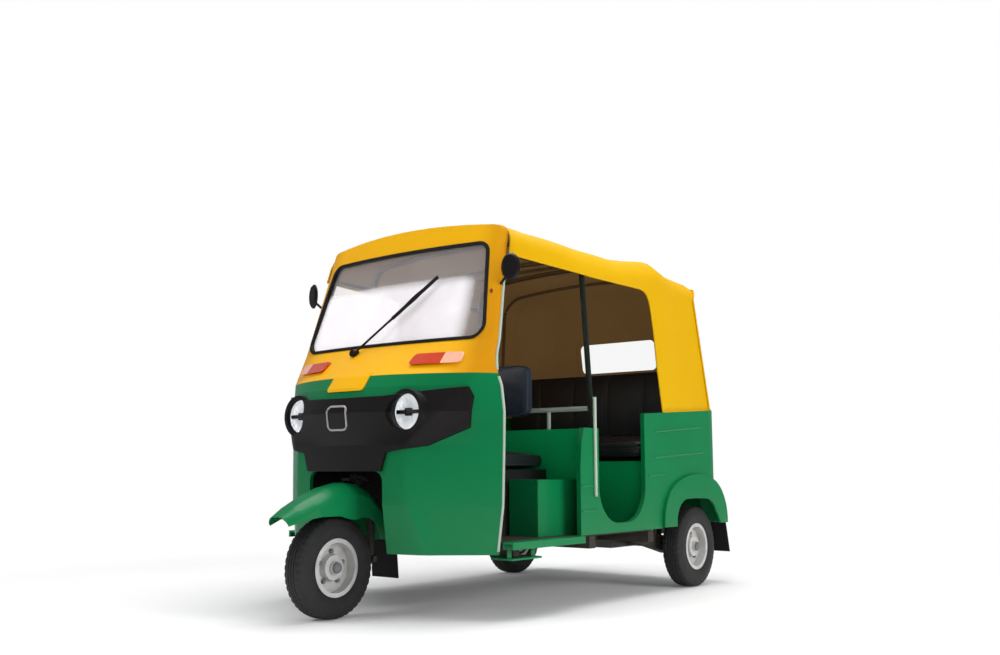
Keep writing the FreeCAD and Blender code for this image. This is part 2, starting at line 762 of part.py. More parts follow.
def build_front_mudguard():
    half = s.guard_half.value
    tip = -s.nose_tip.value
    stations = [
        (tip + 4, 418, 28, half - 26, 42), (tip + 62, 452, 30, half - 8, 58),
        (tip + 134, 487, 25, half, 82), (tip + 234, 526, 17, half, 118),
        (tip + 326, 545, 3, half, 148), (tip + 400, 539, -14, half, 148),
        (tip + 462, 515, -32, half, 130), (tip + 525, 465, -50, half, 104),
        (tip + 580, 390, -62, half, 80), (tip + 606, 300, -80, half - 2, 62),
    ]
    outer = Part.makeLoft([guard_section(*station, 0) for station in stations], True, True)
    inner = Part.makeLoft([guard_section(*station, s.guard_skin.value) for station in stations],
                          True, True)
    guard = outer.cut(inner)
    stem = rod(on_axis(400), on_axis(700), s.column_radius.value + 0.3)
    return shape_part("front_mudguard", guard.cut(stem))


def build_front_flap():
    tip = -s.nose_tip.value
    rear = tip + 606
    points = [(rear - 4.5, 298.8), (rear + 0.5, 298.8), (rear + 16, 140), (rear + 11, 140)]
    flap = prism(points, "x", -s.guard_half.value + 7, s.guard_half.value - 7)
    return shape_part("front_flap", flap)


def build_headlamps():
    lamps = []
    for side in (-1, 1):
        face = lamp_face(side)
        lamp = Part.makeCylinder(s.lamp_radius.value, 72, face, Vector(0, 1, 0))
        dome = Part.makeSphere(260, face + Vector(0, 262, 0))
        lamps.append(lamp.common(dome))
    return shape_part("headlamps", Part.makeCompound(lamps))


def build_indicators():
    lamps = []
    for side in (-1, 1):
        outline = round_prism([(262, 1034), (480, 1034), (480, 1082), (262, 1082)], 14, "y",
                              -1000, -560)
        layer = screen_layer(-16, -0.3)
        lamp = outline.common(layer)
        lamps.append(lamp if side > 0 else lamp.mirror(Vector(0, 0, 0), Vector(1, 0, 0)))
    return shape_part("front_indicators", Part.makeCompound(lamps))


def screen_y(x, z):
    """The windscreen surround's outer face ahead of mid wheelbase."""
    (z0, reach0, curve0, *_), (z1, reach1, curve1, *_) = [
        pair for pair in zip(screen_sections(), screen_sections()[1:]) if pair[1][0] >= z][0]
    share = (z - z0) / (z1 - z0)
    reach = reach0 + share * (reach1 - reach0)
    curve = curve0 + share * (curve1 - curve0)
    return -reach + curve - math.sqrt(curve ** 2 - x ** 2)


def build_wiper():
    pivot = Vector(-130, screen_y(-130, 1112), 1112)
    off = Vector(0, -14, 0)
    foot = rod(pivot + Vector(0, 4, 0), pivot + off * 2, 16)
    elbow = Vector(50, screen_y(50, 1268), 1268)
    tip = Vector(255, screen_y(255, 1432), 1432)
    arm = rod(pivot + off, elbow + off, 5)
    blade = rod(elbow + off, tip + off, 5)
    heel = elbow + (elbow - tip).normalize() * 10
    rubber = rod(heel + off * 0.9, tip + off * 0.9, 8)
    shell = nose_solid(screen_sections(), 0)
    return shape_part("wiper", foot.fuse([arm, blade, rubber]).cut(shell))


def build_mirror(side, name):
    head = Vector(side * 608, -568, 1443)
    rim = Part.Wire(Part.Ellipse(Vector(0, 0, 60), Vector(42, 0, 0), Vector(0, 0, 0)).toShape())
    dish = Part.Face(rim).extrude(Vector(0, -14, 0))
    back = [edge for edge in dish.Edges if edge.BoundBox.YMax < -13]
    dish = dish.makeChamfer(9, back)
    dish.rotate(Vector(0, 0, 0), Vector(0, 0, 1), side * 18)
    dish.translate(head)
    z = 1372
    root = Vector(side * 545, screen_y(545, z) + 30, z)
    stalk = rod(head + Vector(0, -9, -20), root, 6)
    shell = nose_solid(screen_sections(), 0)
    return shape_part(name, dish.fuse(stalk).cut(shell).removeSplitter())


def build_chassis():
    body = new_body("chassis")
    reach = s.rail_spread + s.rail_width / 2
    gap = s.rail_spread - s.rail_width / 2
    front, rear = -s.cowl_rear + 22, s.tail_face - 28
    outline = [(-reach, front), (reach, front), (reach, rear), (-reach, rear)]
    foot = s.rail_foot
    height = rail_top - foot
    pad(body, polygon(body, "XY_Plane", outline, foot), height)
    for near, far in ((-560, 0), (50, 520), (570, 1130), (1170, 1400)):
        bay = polygon(body, "XY_Plane", [(-gap, near), (gap, near), (gap, far), (-gap, far)], foot)
        pocket(body, bay, height, middle=False, back=True)
    for near, far in ((-560, -520), (0, 50), (520, 570)):
        bar = polygon(body, "XY_Plane", [(gap + 10, near), (side_inner - 6, near),
                                         (side_inner - 6, far), (gap + 10, far)], foot)
        mirror(body, [pad(body, bar, height)])
    return register(body, "chassis_frame")


def build_floor():
    body = new_body("floor")
    front = -s.cowl_rear
    half = side_inner
    notch = s.well_half + 6
    rear = s.bench_front
    outline = [(-half, front), (-notch, front), (-notch, front + 16), (notch, front + 16),
               (notch, front), (half, front), (half, rear), (-half, rear)]
    pad(body, polygon(body, "XY_Plane", outline, rail_top), s.floor_sheet)
    hole = circle(body, "XY_Plane", (0, -590), 20, rail_top)
    pocket(body, hole, None)
    return register(body, "floor_pan")


def side_outline(body, doorway):
    """The side panel's outline: sill, rising tail, belt line and waist."""
    belt = s.belt_front
    front = -s.panel_front
    tail = side_end
    belt_tail = belt + belt_slope * (tail - s.doorway_rear)
    points = [(front, s.sill_height), (620, s.sill_height), (tail, s.sill_height + 32),
              (tail, belt_tail), (s.doorway_rear, belt), (s.doorway_front, belt + belt_slope
               * (s.doorway_front - s.doorway_rear)),
              (s.doorway_front, s.waist_height), (front + 30, s.waist_height),
              (front + 12, s.waist_height - 60), (front, s.waist_height - 170)]
    if doorway:
        points[5] = (s.doorway_rear - 1, s.waist_height)
    return polygon(body, "YZ_Plane", points, side_inner)


# The wheel arch as three arcs, each by its ends and a point between them, from front to rear.
ARCH = [((612, 330), (645, 450), (745, 532)),
        ((745, 532), (960, 577), (1170, 540)),
        ((1170, 540), (1262, 460), (1300, 330))]
ARCH_CENTRE = (980, 330)


def arch_prism(inset, low, high, foot=0):
    """The arch drawn out sideways, drawn in towards its centre by the inset."""
    centre_y, centre_z = ARCH_CENTRE

    def at(point):
        y, z = point
        share = 1 - inset / math.hypot(y - centre_y, z - centre_z)
        return Vector(low, centre_y + (y - centre_y) * share, centre_z + (z - centre_z) * share)

    edges = [Part.Arc(*[at(point) for point in arc]).toShape() for arc in ARCH]
    front, rear = at(ARCH[0][0]), at(ARCH[-1][-1])
    under_front, under_rear = Vector(low, front.y, foot), Vector(low, rear.y, foot)
    edges.append(Part.LineSegment(rear, under_rear).toShape())
    edges.append(Part.LineSegment(under_rear, under_front).toShape())
    edges.append(Part.LineSegment(under_front, front).toShape())
    return Part.Face(Part.Wire(edges)).extrude(Vector(high - low, 0, 0))


# The pressed beads of the side panels: front end and rear end as place and height.
BEADS = [((-96, 528), (34, 528)), ((-96, 418), (34, 418)), ((552, 786), (1040, 821)),
         ((547, 659), (1055, 690)), ((490, 572), (640, 578))]


def build_sides():
    outer = s.half_width.value
    for side, name in ((1, "body_side_left"), (-1, "body_side_right")):
        body = new_body("side")
        pad(body, side_outline(body, side > 0), s.side_wall)
        shape = body.Shape
        if side > 0:
            front, rear = s.doorway_front.value, s.doorway_rear.value
            radius = (rear - front) / 2 - 40
            well = round_prism([(front, s.doorway_floor.value), (rear, s.doorway_floor.value),
                                (rear, 1400), (front, 1400)], radius, "x", 500, 700)
            shape = shape.cut(well)
        shape = shape.cut(arch_prism(0, 400, 700))
        beads = [rod((outer - 3, *near), (outer - 3, *far), 7) for near, far in BEADS]
        shape = shape.fuse(beads).removeSplitter()
        if side < 0:
            shape = shape.mirror(Vector(0, 0, 0), Vector(1, 0, 0))
        doc.removeObject(body.Name)
        shape_part(name, shape)


def build_arches():
    wheel = Part.makeCylinder(240, 300, Vector(480, rear_axle.value, axle_height.value + 6),
                              Vector(1, 0, 0))
    face = s.half_width.value + 17
    for side, name in ((1, "wheel_arch_left"), (-1, "wheel_arch_right")):
        fender = arch_prism(0, 505, face, 318).cut(arch_prism(12, 500, face - 10, 300))
        fender = fender.cut(arch_prism(ARCH_FLANK, 500, face + 1, 300)).cut(wheel)
        if side < 0:
            fender = fender.mirror(Vector(0, 0, 0), Vector(1, 0, 0))
        shape_part(name, fender)


ARCH_FLANK = 125


def build_rear_panel():
    half, wall, tail, radius = (s.half_width.value, s.side_wall.value, s.tail_face.value,
                                s.tail_radius.value)
    low, high = 345, s.belt_rear.value + 40
    start = side_end.value

    def tub(inset):
        box = Part.makeBox(2 * (half - inset), 600, high - low, Vector(-half + inset,
                                                                       tail - inset - 600, low))
        corners = [e for e in box.Edges if abs(e.tangentAt(0)[2]) > 0.99
                   and e.valueAt(e.FirstParameter)[1] > tail - 300]
        return box.makeFillet(radius - inset, corners)

    shell = tub(0).cut(tub(wall))
    shell = shell.common(Part.makeBox(2000, 600, 2000, Vector(-1000, start, 0)))
    slope = belt_slope.value
    rear_y = s.doorway_rear.value
    belt = [(start, 200), (1500, 200), (1500, s.belt_front.value + slope * (1500 - rear_y)),
            (start, s.belt_front.value + slope * (start - rear_y))]
    shell = shell.common(prism(belt, "x", -900, 900))
    hatch = round_prism([(-HATCH[0], HATCH[1]), (HATCH[0], HATCH[1]), (HATCH[0], HATCH[2]),
                         (-HATCH[0], HATCH[2])], 30, "y", 1200, 1500)
    shell = shell.cut(hatch)
    for side in (-1, 1):
        arch = arch_prism(0, 400, 700)
        if side < 0:
            arch = arch.mirror(Vector(0, 0, 0), Vector(1, 0, 0))
        shell = shell.cut(arch)
    return shape_part("rear_panel", shell.fuse(hinge_ears()).removeSplitter())


HATCH = (330, 420, 800)
HINGE_PIN = 6


def hinge_line():
    return s.tail_face.value + 8, HATCH[2] + 2


def hinge_ears():
    """The fixed knuckles that hold the hatch's hinge pin at both ends."""
    y, z = hinge_line()
    ears = []
    for side in (-1, 1):
        near, far = sorted((side * (HATCH[0] - 60), side * (HATCH[0] - 36)))
        ear = rod((near, y, z), (far, y, z), 8)
        web = Part.makeBox(far - near, y - s.tail_face.value + 6, 24, Vector(near, s.tail_face.value - 2, z))
        bore = rod((near - 1, y, z), (far + 1, y, z), HINGE_PIN / 2 + s.run_gap.value)
        ears.append(ear.fuse(web).cut(bore))
    return ears


def build_hatch():
    gap = 6
    width, low, high = HATCH[0] - gap, HATCH[1] + gap, HATCH[2] - gap
    tail = s.tail_face.value
    lid = round_prism([(-width, low), (width, low), (width, high), (-width, high)], 24, "y",
                      tail - s.side_wall.value + 4, tail)
    for row in range(5):
        z = low + 90 + row * 46
        slot = Part.makeBox(2 * width - 220, 60, 12, Vector(-width + 110, tail - 40, z))
        lid = lid.cut(slot)
    y, z = hinge_line()
    reach = HATCH[0] - 66
    barrel = rod((-reach, y, z), (reach, y, z), 6)
    pin = rod((-reach - 28, y, z), (reach + 28, y, z), HINGE_PIN / 2)
    leaf = Part.makeBox(2 * reach, 8, z - high + 20, Vector(-reach, tail, high - 20))
    return shape_part("engine_hatch", lid.fuse([barrel, pin, leaf]).removeSplitter())


def build_cabin():
    half = side_inner
    floor_top = s.sill_height
    register(block("partition", (-half, half), (10, 32), (floor_top, s.waist_height)), "partition")
    waist = s.waist_height.value
    height = waist + 91
    rail = rod((-600.2, POST_Y, height), (600.2, POST_Y, height), 11)
    legs = [rod((x, POST_Y, waist), (x, POST_Y, height), 9) for x in (-380, 0, 380)]
    rail = rail.fuse(legs)
    shape_part("partition_rail", rail.removeSplitter())
    register(block("seat_base", (-370, 370), (-330, 10), (floor_top, 600)), "driver_seat_base")
    register(block("battery", (390, 545), (-300, 10), (floor_top, 556)), "battery_box")
    for name, x, y, z, radius in (
            ("driver_cushion", (-385, 385), (-380, -2), (600, s.driver_seat_top), 28),
            ("driver_backrest", (-305, 305), (-62, 9.8), (845, 1095), 26),
            ("passenger_cushion", (-s.bench_half, s.bench_half), (s.bench_front, 957),
             (640, s.bench_top), 36),
            ("passenger_backrest", (-s.bench_half - 20, s.bench_half + 20), (958, 1088),
             (640, s.back_top), 36)):
        body = block(name, x, y, z)
        fillet(body, radius, lambda edge, middle: abs(edge.tangentAt(0)[0]) > 0.99)
        register(body, name)


def build_bench_base():
    half = side_inner.value
    front = s.bench_front.value
    wall = Part.makeBox(2 * half, 12, 632 - rail_top.value, Vector(-half, front, rail_top.value))
    radius = s.tail_radius.value
    side_x, side_y = s.half_width.value - radius, s.tail_face.value - radius
    turn = (radius - s.side_wall.value) * math.sqrt(0.5) - 1
    right = [(half, front), (half, side_y), (side_x + turn, side_y + turn),
             (side_x, tail_inner.value)]
    board = prism(right + [(-x, y) for x, y in reversed(right)], "z", 632, 640)
    return shape_part("bench_base", wall.fuse(board).removeSplitter())


def hoop(y, drop, legs):
    """A flat-sided hoop under the canvas, with the feet of its two legs given."""
    depth, cover = 16, s.hood_wall.value + 1
    crown, half, shoulder = hood_at(y)
    lean = hood_lean(half)
    cant = s.cant_height.value - 2

    def outline(inset):
        reach, radius = half - cover - inset, shoulder - cover - inset
        top = crown - cover - drop - inset
        edge = top - 26
        low = edge - radius
        inner, turn = reach - radius, radius * math.sqrt(0.5)
        left, right = [Vector(side * (reach + lean * (cant - foot)), y, foot)
                       for side, foot in zip((-1, 1), legs)]
        edges = [
            Part.LineSegment(left, Vector(-reach, y, low)).toShape(),
            Part.Arc(Vector(-reach, y, low), Vector(-inner - turn, y, low + turn),
                     Vector(-inner, y, edge)).toShape(),
            Part.Arc(Vector(-inner, y, edge), Vector(0, y, top), Vector(inner, y, edge)).toShape(),
            Part.Arc(Vector(inner, y, edge), Vector(inner + turn, y, low + turn),
                     Vector(reach, y, low)).toShape(),
            Part.LineSegment(Vector(reach, y, low), right).toShape(),
        ]
        return edges, left, right

    outer, left, right = outline(0)
    inner, inner_left, inner_right = outline(depth)
    ends = [Part.LineSegment(left, inner_left).toShape(), Part.LineSegment(right, inner_right).toShape()]
    face = Part.Face(Part.Wire(Part.__sortEdges__(outer + inner + ends)))
    return face.extrude(Vector(0, s.bow_tube.value, 0))


POST_Y = 21


def build_hood_frame():
    cant = s.cant_height.value + 4
    half = s.cant_half.value - s.hood_wall.value - 12
    under_canvas = hood_solid(s.hood_wall.value + 0.4)
    line = [(hood_at(y)[1] - s.hood_wall.value, y) for y in (-470, -45, 700)]
    rail = [(x - 6, y) for x, y in line] + [(x - 18, y) for x, y in reversed(line)]
    pieces = [prism([(side * x, y) for x, y in rail], "z", cant, cant + 16) for side in (-1, 1)]
    for y, drop, legs in ((-200, 3, ()), (250, 3, (-1,)), (690, 3, (-1, 1))):
        belt = s.belt_front.value + belt_slope.value * (y + 22 - s.doorway_rear.value) + 0.5
        feet = [belt if side in legs else s.cant_height.value - 2 for side in (-1, 1)]
        pieces.append(hoop(y, drop, feet).common(under_canvas))
    for side in (-1, 1):
        pieces.append(rod((side * 620, POST_Y, s.waist_height.value + 1),
                          (side * (half - 6), POST_Y, cant + 8), s.post_tube.value / 2))
    return shape_part("hood_frame", pieces[0].fuse(pieces[1:]).removeSplitter())


def build_steps():
    parts = []
    for side in (-1, 1):
        lip = Part.makeBox(53.7, 520, 30, Vector(616.3, -640, 283))
        lip = lip.cut(Part.makeBox(40, 600, 22, Vector(622, -660, 283)))
        tread = Part.makeBox(110, 200, 8, Vector(540, -620, 239))
        hangers = [Part.makeBox(4, 26, 62.5, Vector(618, y, 239)) for y in (-615, -455)]
        step = lip.fuse([tread] + hangers).removeSplitter()
        parts.append(step if side > 0 else step.mirror(Vector(0, 0, 0), Vector(1, 0, 0)))
    return shape_part("side_steps", Part.makeCompound(parts))


def build_running_gear():
    axle_y, axle_z = rear_axle.value, axle_height.value
    spread = s.arm_spread.value
    wheel = rear_wheel.value
    for side, name in ((1, "trailing_arm_left"), (-1, "trailing_arm_right")):
        arm = prism([(570, 256), (570, 300), (640, 302), (axle_y + 42, axle_z + 34),
                     (axle_y + 48, axle_z - 34), (axle_y - 40, axle_z - 40), (640, 240)],
                    "x", spread - 25, spread + 25)
        stub = rod((spread, axle_y, axle_z), (wheel + 44, axle_y, axle_z), s.hub_bore.value)
        foot, top = Vector(spread, 900, 250), Vector(spread, 920, 632)
        damper = rod(foot, top, 13)
        axis = (top - foot).normalize()
        spring = Part.makeCylinder(36, 230, foot + axis * 70, axis)
        shape = arm.fuse([stub, damper, spring]).cut(Part.makeBox(200, 100, 100,
                                                                  Vector(400, 850, 632)))
        shape = shape.removeSplitter()
        if side < 0:
            shape = shape.mirror(Vector(0, 0, 0), Vector(1, 0, 0))
        shape_part(name, shape)
    engine = Part.makeBox(400, 290, 315, Vector(-200, 840, 185))
    shafts = [rod((side * 190, axle_y, axle_z), (side * (spread - 25), axle_y, axle_z), 14)
              for side in (-1, 1)]
    shape_part("engine", engine.fuse(shafts).removeSplitter())
    can = rod((-220, 1240, 275), (220, 1240, 275), 50)
    pipe = rod((-130, 1130, 226), (-130, 1222, 240), 15)
    outlet = rod((150, 1240, 240), (150, 1330, 215), 14)
    shape = can.fuse([pipe, outlet]).cut(Part.makeBox(400, 20, 300, Vector(-200, 1110, 100)))
    shape_part("silencer", shape.removeSplitter())
    bumper = Part.makeBox(1060, 44, 44, Vector(-530, s.tail_end.value - 44, 261))
    long_edges = [e for e in bumper.Edges if abs(e.tangentAt(0)[0]) > 0.99]
    bumper = bumper.makeFillet(12, long_edges)
    for side in (-1, 1):
        bumper = bumper.cut(rod((side * 80, 1200, 283), (side * 80, 1500, 283), 6.5))
    shape_part("rear_bumper", bumper)
    lamps = []
    for side in (-1, 1):
        lamp = Part.makeBox(92, 15, 190, Vector(-46 + side * 388, s.tail_face.value, 640))
        edges = [e for e in lamp.Edges if e.BoundBox.YMin > s.tail_face.value + 14]
        lamps.append(lamp.makeFillet(8, edges))
    shape_part("tail_lamps", Part.makeCompound(lamps))
    flaps = [prism([(1289, 317.5), (1295, 317.5), (1334, 160), (1328, 160)], "x",
                   *sorted((side * 535, side * 645))) for side in (-1, 1)]
    shape_part("rear_flaps", Part.makeCompound(flaps))


def turned(label, profile, place):
    """A wheel piece turned about its axle, along X."""
    body = new_body(label)
    sketch = polygon(body, "XY_Plane", profile)
    revolve(body, sketch, "H_Axis")
    body.Label = label
    x, y = place
    bind(body, "Placement.Base.x", x)
    bind(body, "Placement.Base.y", y + frame_shift)
    bind(body, "Placement.Base.z", axle_height)
    sub_parts.append(body)
    return body


def build_wheels():
    radius, half = s.tyre_radius, s.tyre_width / 2
    bead = s.rim_radius - 9.8
    shoulder = radius - 26
    tread = half - 12
    tyre = [(-40, bead), (40, bead), (half, bead + 40), (half - 2, shoulder), (tread, radius),
            (-tread, radius), (-half + 2, shoulder), (-half, bead + 40)]
    bore = s.hub_bore + s.run_gap
    flange = bead - 8.2

    def rim_profile(out):
        return [(out * x, r) for x, r in (
            (-44, bore), (-44, 84), (-4, 84), (-4, flange), (-46, flange), (-46, s.rim_radius),
            (-40.2, bead - 0.2), (40.2, bead - 0.2), (46, s.rim_radius), (46, flange), (4, flange),
            (4, 56), (30, 50), (30, 26), (44, 26), (44, bore))]

    for name, x, y in (("front", Size(0, "0"), front_axle), ("rear_left", rear_wheel, rear_axle),
                       ("rear_right", -rear_wheel, rear_axle)):
        turned(name + "_tyre", tyre, (x, y))
        turned(name + "_rim", rim_profile(-1 if name == "rear_right" else 1), (x, y))


build_cowl()
build_screen_frame()
build_screen()
build_mask()
build_hood()
build_front_wheel_box()
build_steering_head()
build_steering_column()
build_front_suspension()
build_handlebar()
build_instrument_pod()
build_front_mudguard()
build_front_flap()
build_headlamps()
build_indicators()
build_wiper()
build_mirror(1, "mirror_left")
build_mirror(-1, "mirror_right")
build_chassis()
build_floor()
build_sides()
build_arches()
build_rear_panel()
build_hatch()
build_cabin()
build_bench_base()
build_hood_frame()
build_steps()
build_running_gear()
build_wheels()

doc.recompute()


def check_and_write():
    os.makedirs("parts", exist_ok=True)
    for item in doc.Objects:
        for word in ("Invalid", "Error"):
            if word in item.State:
                raise RuntimeError(f"{item.Label}: {item.State}")
    for item in sub_parts:
        if item.Shape.isNull() or not item.Shape.isValid():
            raise RuntimeError(f"{item.Label}: bad shape")
        if not item.Shape.Solids:
            raise RuntimeError(f"{item.Label}: no solid")
        item.Shape.exportStep(f"parts/{item.Label}.step")


check_and_write()
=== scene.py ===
"""An auto rickshaw: green steel body, yellow canvas hood, black vinyl benches, three small wheels."""
import json
import math

import bmesh
import bpy
import numpy as np
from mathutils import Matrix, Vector
from mathutils.bvhtree import BVHTree

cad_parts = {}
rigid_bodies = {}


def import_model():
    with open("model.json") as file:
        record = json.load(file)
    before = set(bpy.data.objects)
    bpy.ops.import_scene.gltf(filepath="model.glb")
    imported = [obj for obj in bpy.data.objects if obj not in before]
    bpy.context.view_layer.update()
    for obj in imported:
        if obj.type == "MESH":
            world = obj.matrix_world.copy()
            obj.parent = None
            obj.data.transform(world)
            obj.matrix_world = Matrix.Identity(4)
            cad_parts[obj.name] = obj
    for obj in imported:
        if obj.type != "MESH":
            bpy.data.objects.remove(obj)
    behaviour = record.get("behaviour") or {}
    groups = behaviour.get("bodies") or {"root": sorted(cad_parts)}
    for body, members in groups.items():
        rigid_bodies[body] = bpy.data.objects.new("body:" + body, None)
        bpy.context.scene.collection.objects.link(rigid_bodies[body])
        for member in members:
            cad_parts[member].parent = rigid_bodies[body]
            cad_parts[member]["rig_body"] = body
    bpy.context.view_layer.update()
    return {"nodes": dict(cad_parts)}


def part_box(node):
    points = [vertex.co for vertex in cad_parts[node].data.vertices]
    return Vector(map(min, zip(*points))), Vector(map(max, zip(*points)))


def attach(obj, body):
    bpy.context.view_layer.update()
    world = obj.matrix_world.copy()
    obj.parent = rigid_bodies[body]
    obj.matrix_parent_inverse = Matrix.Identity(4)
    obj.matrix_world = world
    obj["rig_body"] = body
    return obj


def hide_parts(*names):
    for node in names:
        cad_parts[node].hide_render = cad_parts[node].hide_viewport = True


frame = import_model()

# The studio is a white paper floor under a white sky. Wide soft lamps stand ahead, at both sides,
# behind and overhead: each has its place, what it faces, its width and height, its watts and
# whether gloss shows it. The camera stands low ahead of the left corner and looks a little up.
FLOOR_SPAN = 400.0
PAPER_NEAR, PAPER_FAR, PAPER_LIFT = 1.75, 3.3, 0.05
SKY_FILL = 0.32
CAMERA_PLACE = (3.2041, -4.0058, 0.6025)
CAMERA_YAW, CAMERA_PITCH = 0.6788, 0.1353
CAMERA_LENS, CAMERA_SENSOR, CAMERA_SHIFT = 37.4, 36.0, 0.018
LAMPS = (("key", (-3.0, -5.6, 4.4), (0, -0.6, 1.0), 3.4, 2.4, 160, False),
         ("side_fill", (5.6, 0.3, 2.0), (0, 0.4, 0.8), 2.6, 1.8, 175, False),
         ("near_fill", (4.0, -3.4, 1.3), (0.2, -0.1, 0.6), 1.6, 1.2, 22, False),
         ("rear_fill", (1.0, 6.0, 3.5), (0, 0.6, 1.0), 3.0, 2.0, 60, False),
         ("sky", (0.3, 0.4, 5.4), (0, 0, 0), 4.2, 4.2, 290, True))


def linear(colour):
    """An sRGB colour written as six hex digits, turned to linear light by the standard's curve."""
    parts = np.array([int(colour[i:i + 2], 16) for i in (0, 2, 4)]) / 255
    values = np.where(parts <= 0.04045, parts / 12.92, ((parts + 0.055) / 1.055) ** 2.4)
    return (*values, 1.0)


def add(tree, kind, inputs=None, **settings):
    """Add one node, with its settings and with its inputs set to values or linked to sockets."""
    node = tree.nodes.new(kind)
    for name, value in settings.items():
        setattr(node, name, value)
    for name, value in (inputs or {}).items():
        if isinstance(value, bpy.types.NodeSocket):
            tree.links.new(value, node.inputs[name])
        else:
            node.inputs[name].default_value = value
    return node


def new_material(name):
    """An empty material, its node tree and the place on the piece that its patterns follow."""
    material = bpy.data.materials.new(name)
    material.use_nodes = True
    tree = material.node_tree
    tree.nodes.clear()
    return material, tree, add(tree, "ShaderNodeTexCoord").outputs["Object"]


def close(material, shader):
    """Send the last shader to the material's surface."""
    add(material.node_tree, "ShaderNodeOutputMaterial", {"Surface": shader.outputs[0]})
    return material


def place_object(name, data):
    """An object at the origin that shows a mesh, a lamp or a camera."""
    piece = bpy.data.objects.new(name, data)
    bpy.context.scene.collection.objects.link(piece)
    return piece


def seen_directly(tree):
    """1 for what the camera sees straight or through glass, 0 for light on its way elsewhere."""
    rays = add(tree, "ShaderNodeLightPath")
    seen = add(tree, "ShaderNodeMath", {0: rays.outputs["Is Camera Ray"],
                                        1: rays.outputs["Is Transmission Ray"]}, operation="MAXIMUM")
    return seen.outputs[0]


def backdrop_paper():
    """White paper: it takes the shadow near the vehicle and fades into the white sky further off."""
    material, tree, place = new_material("white_backdrop_paper")
    seen = seen_directly(tree)
    away = add(tree, "ShaderNodeVectorMath", {0: place}, operation="LENGTH")
    far = add(tree, "ShaderNodeMapRange", {"Value": away.outputs["Value"], "From Min": PAPER_NEAR,
                                           "From Max": PAPER_FAR}, interpolation_type="SMOOTHSTEP")
    fade = add(tree, "ShaderNodeMath", {0: seen, 1: far.outputs[0]}, operation="MULTIPLY")
    paper = add(tree, "ShaderNodeBsdfDiffuse", {"Color": linear("e9e8e7")})
    lift = add(tree, "ShaderNodeMath", {0: seen, 1: PAPER_LIFT}, operation="MULTIPLY")
    glow = add(tree, "ShaderNodeEmission", {"Color": linear("ffffff"), "Strength": lift.outputs[0]})
    lit = add(tree, "ShaderNodeAddShader", {0: paper.outputs[0], 1: glow.outputs[0]})
    white = add(tree, "ShaderNodeEmission", {"Color": linear("ffffff"), "Strength": 1.0})
    return close(material, add(tree, "ShaderNodeMixShader", {
        0: fade.outputs[0], 1: lit.outputs[0], 2: white.outputs[0]}))


def build_studio():
    """Sets the camera, the sky, the paper floor, which is no part of the vehicle, and the lamps."""
    scene = bpy.context.scene
    scene.view_settings.view_transform = "Standard"
    camera = bpy.data.cameras.new("camera")
    camera.lens = CAMERA_LENS
    camera.sensor_width = CAMERA_SENSOR
    camera.shift_x = CAMERA_SHIFT
    stand = place_object("camera", camera)
    stand.location = CAMERA_PLACE
    stand.rotation_euler = (math.pi / 2 + CAMERA_PITCH, 0.0, CAMERA_YAW)
    scene.camera = stand

    world = bpy.data.worlds.new("studio")
    scene.world = world
    world.use_nodes = True
    tree = world.node_tree
    tree.nodes.clear()
    fill = add(tree, "ShaderNodeBackground", {"Color": linear("f3f6ff"), "Strength": SKY_FILL})
    white = add(tree, "ShaderNodeBackground", {"Color": linear("ffffff"), "Strength": 1.0})
    both = add(tree, "ShaderNodeMixShader", {0: seen_directly(tree), 1: fill.outputs[0],
                                             2: white.outputs[0]})
    add(tree, "ShaderNodeOutputWorld", {"Surface": both.outputs[0]})

    corners = np.array([(-1, -1), (1, -1), (1, 1), (-1, 1)]) * FLOOR_SPAN / 2
    mesh = bpy.data.meshes.new("floor")
    mesh.from_pydata([(x, y, 0.0) for x, y in corners], [], [(0, 1, 2, 3)])
    mesh.materials.append(backdrop_paper())
    floor = place_object("floor", mesh)

    for name, place, aim, width, height, watts, glossy in LAMPS:
        lamp = bpy.data.lights.new(name, "AREA")
        lamp.shape = "RECTANGLE"
        lamp.size, lamp.size_y = width, height
        lamp.energy = watts
        stand = place_object(name, lamp)
        stand.location = place
        turn = (Vector(aim) - Vector(place)).to_track_quat("-Z", "Y")
        stand.rotation_euler = turn.to_euler()
        stand.visible_glossy = glossy


build_studio()


# The pressed steel body. Its sheet is folded and rolled at every edge, sprayed with green enamel
# and baked, so it is glossy with a faint orange peel, and dust settles low on it.
GREEN = linear("027a46")
GREEN_DEEP = linear("02683a")
ROAD_DUST = linear("6f6656")
DUST_TOP, DUST_FULL = 0.62, 0.18
TONE_MM, DUST_PATCH_MM, PEEL_MM = 455, 71.4, 5.26


def two_tones(tree, place, size_mm, detail, one, other):
    """A soft drift between two colours, in patches of a real size: the colour and the patches."""
    drift = add(tree, "ShaderNodeTexNoise", {"Vector": place, "Scale": 1000 / size_mm,
                                             "Detail": detail})
    mix = add(tree, "ShaderNodeMix", {"Factor": drift.outputs["Fac"], 6: one, 7: other},
              data_type="RGBA")
    return mix.outputs[2], drift.outputs["Fac"]


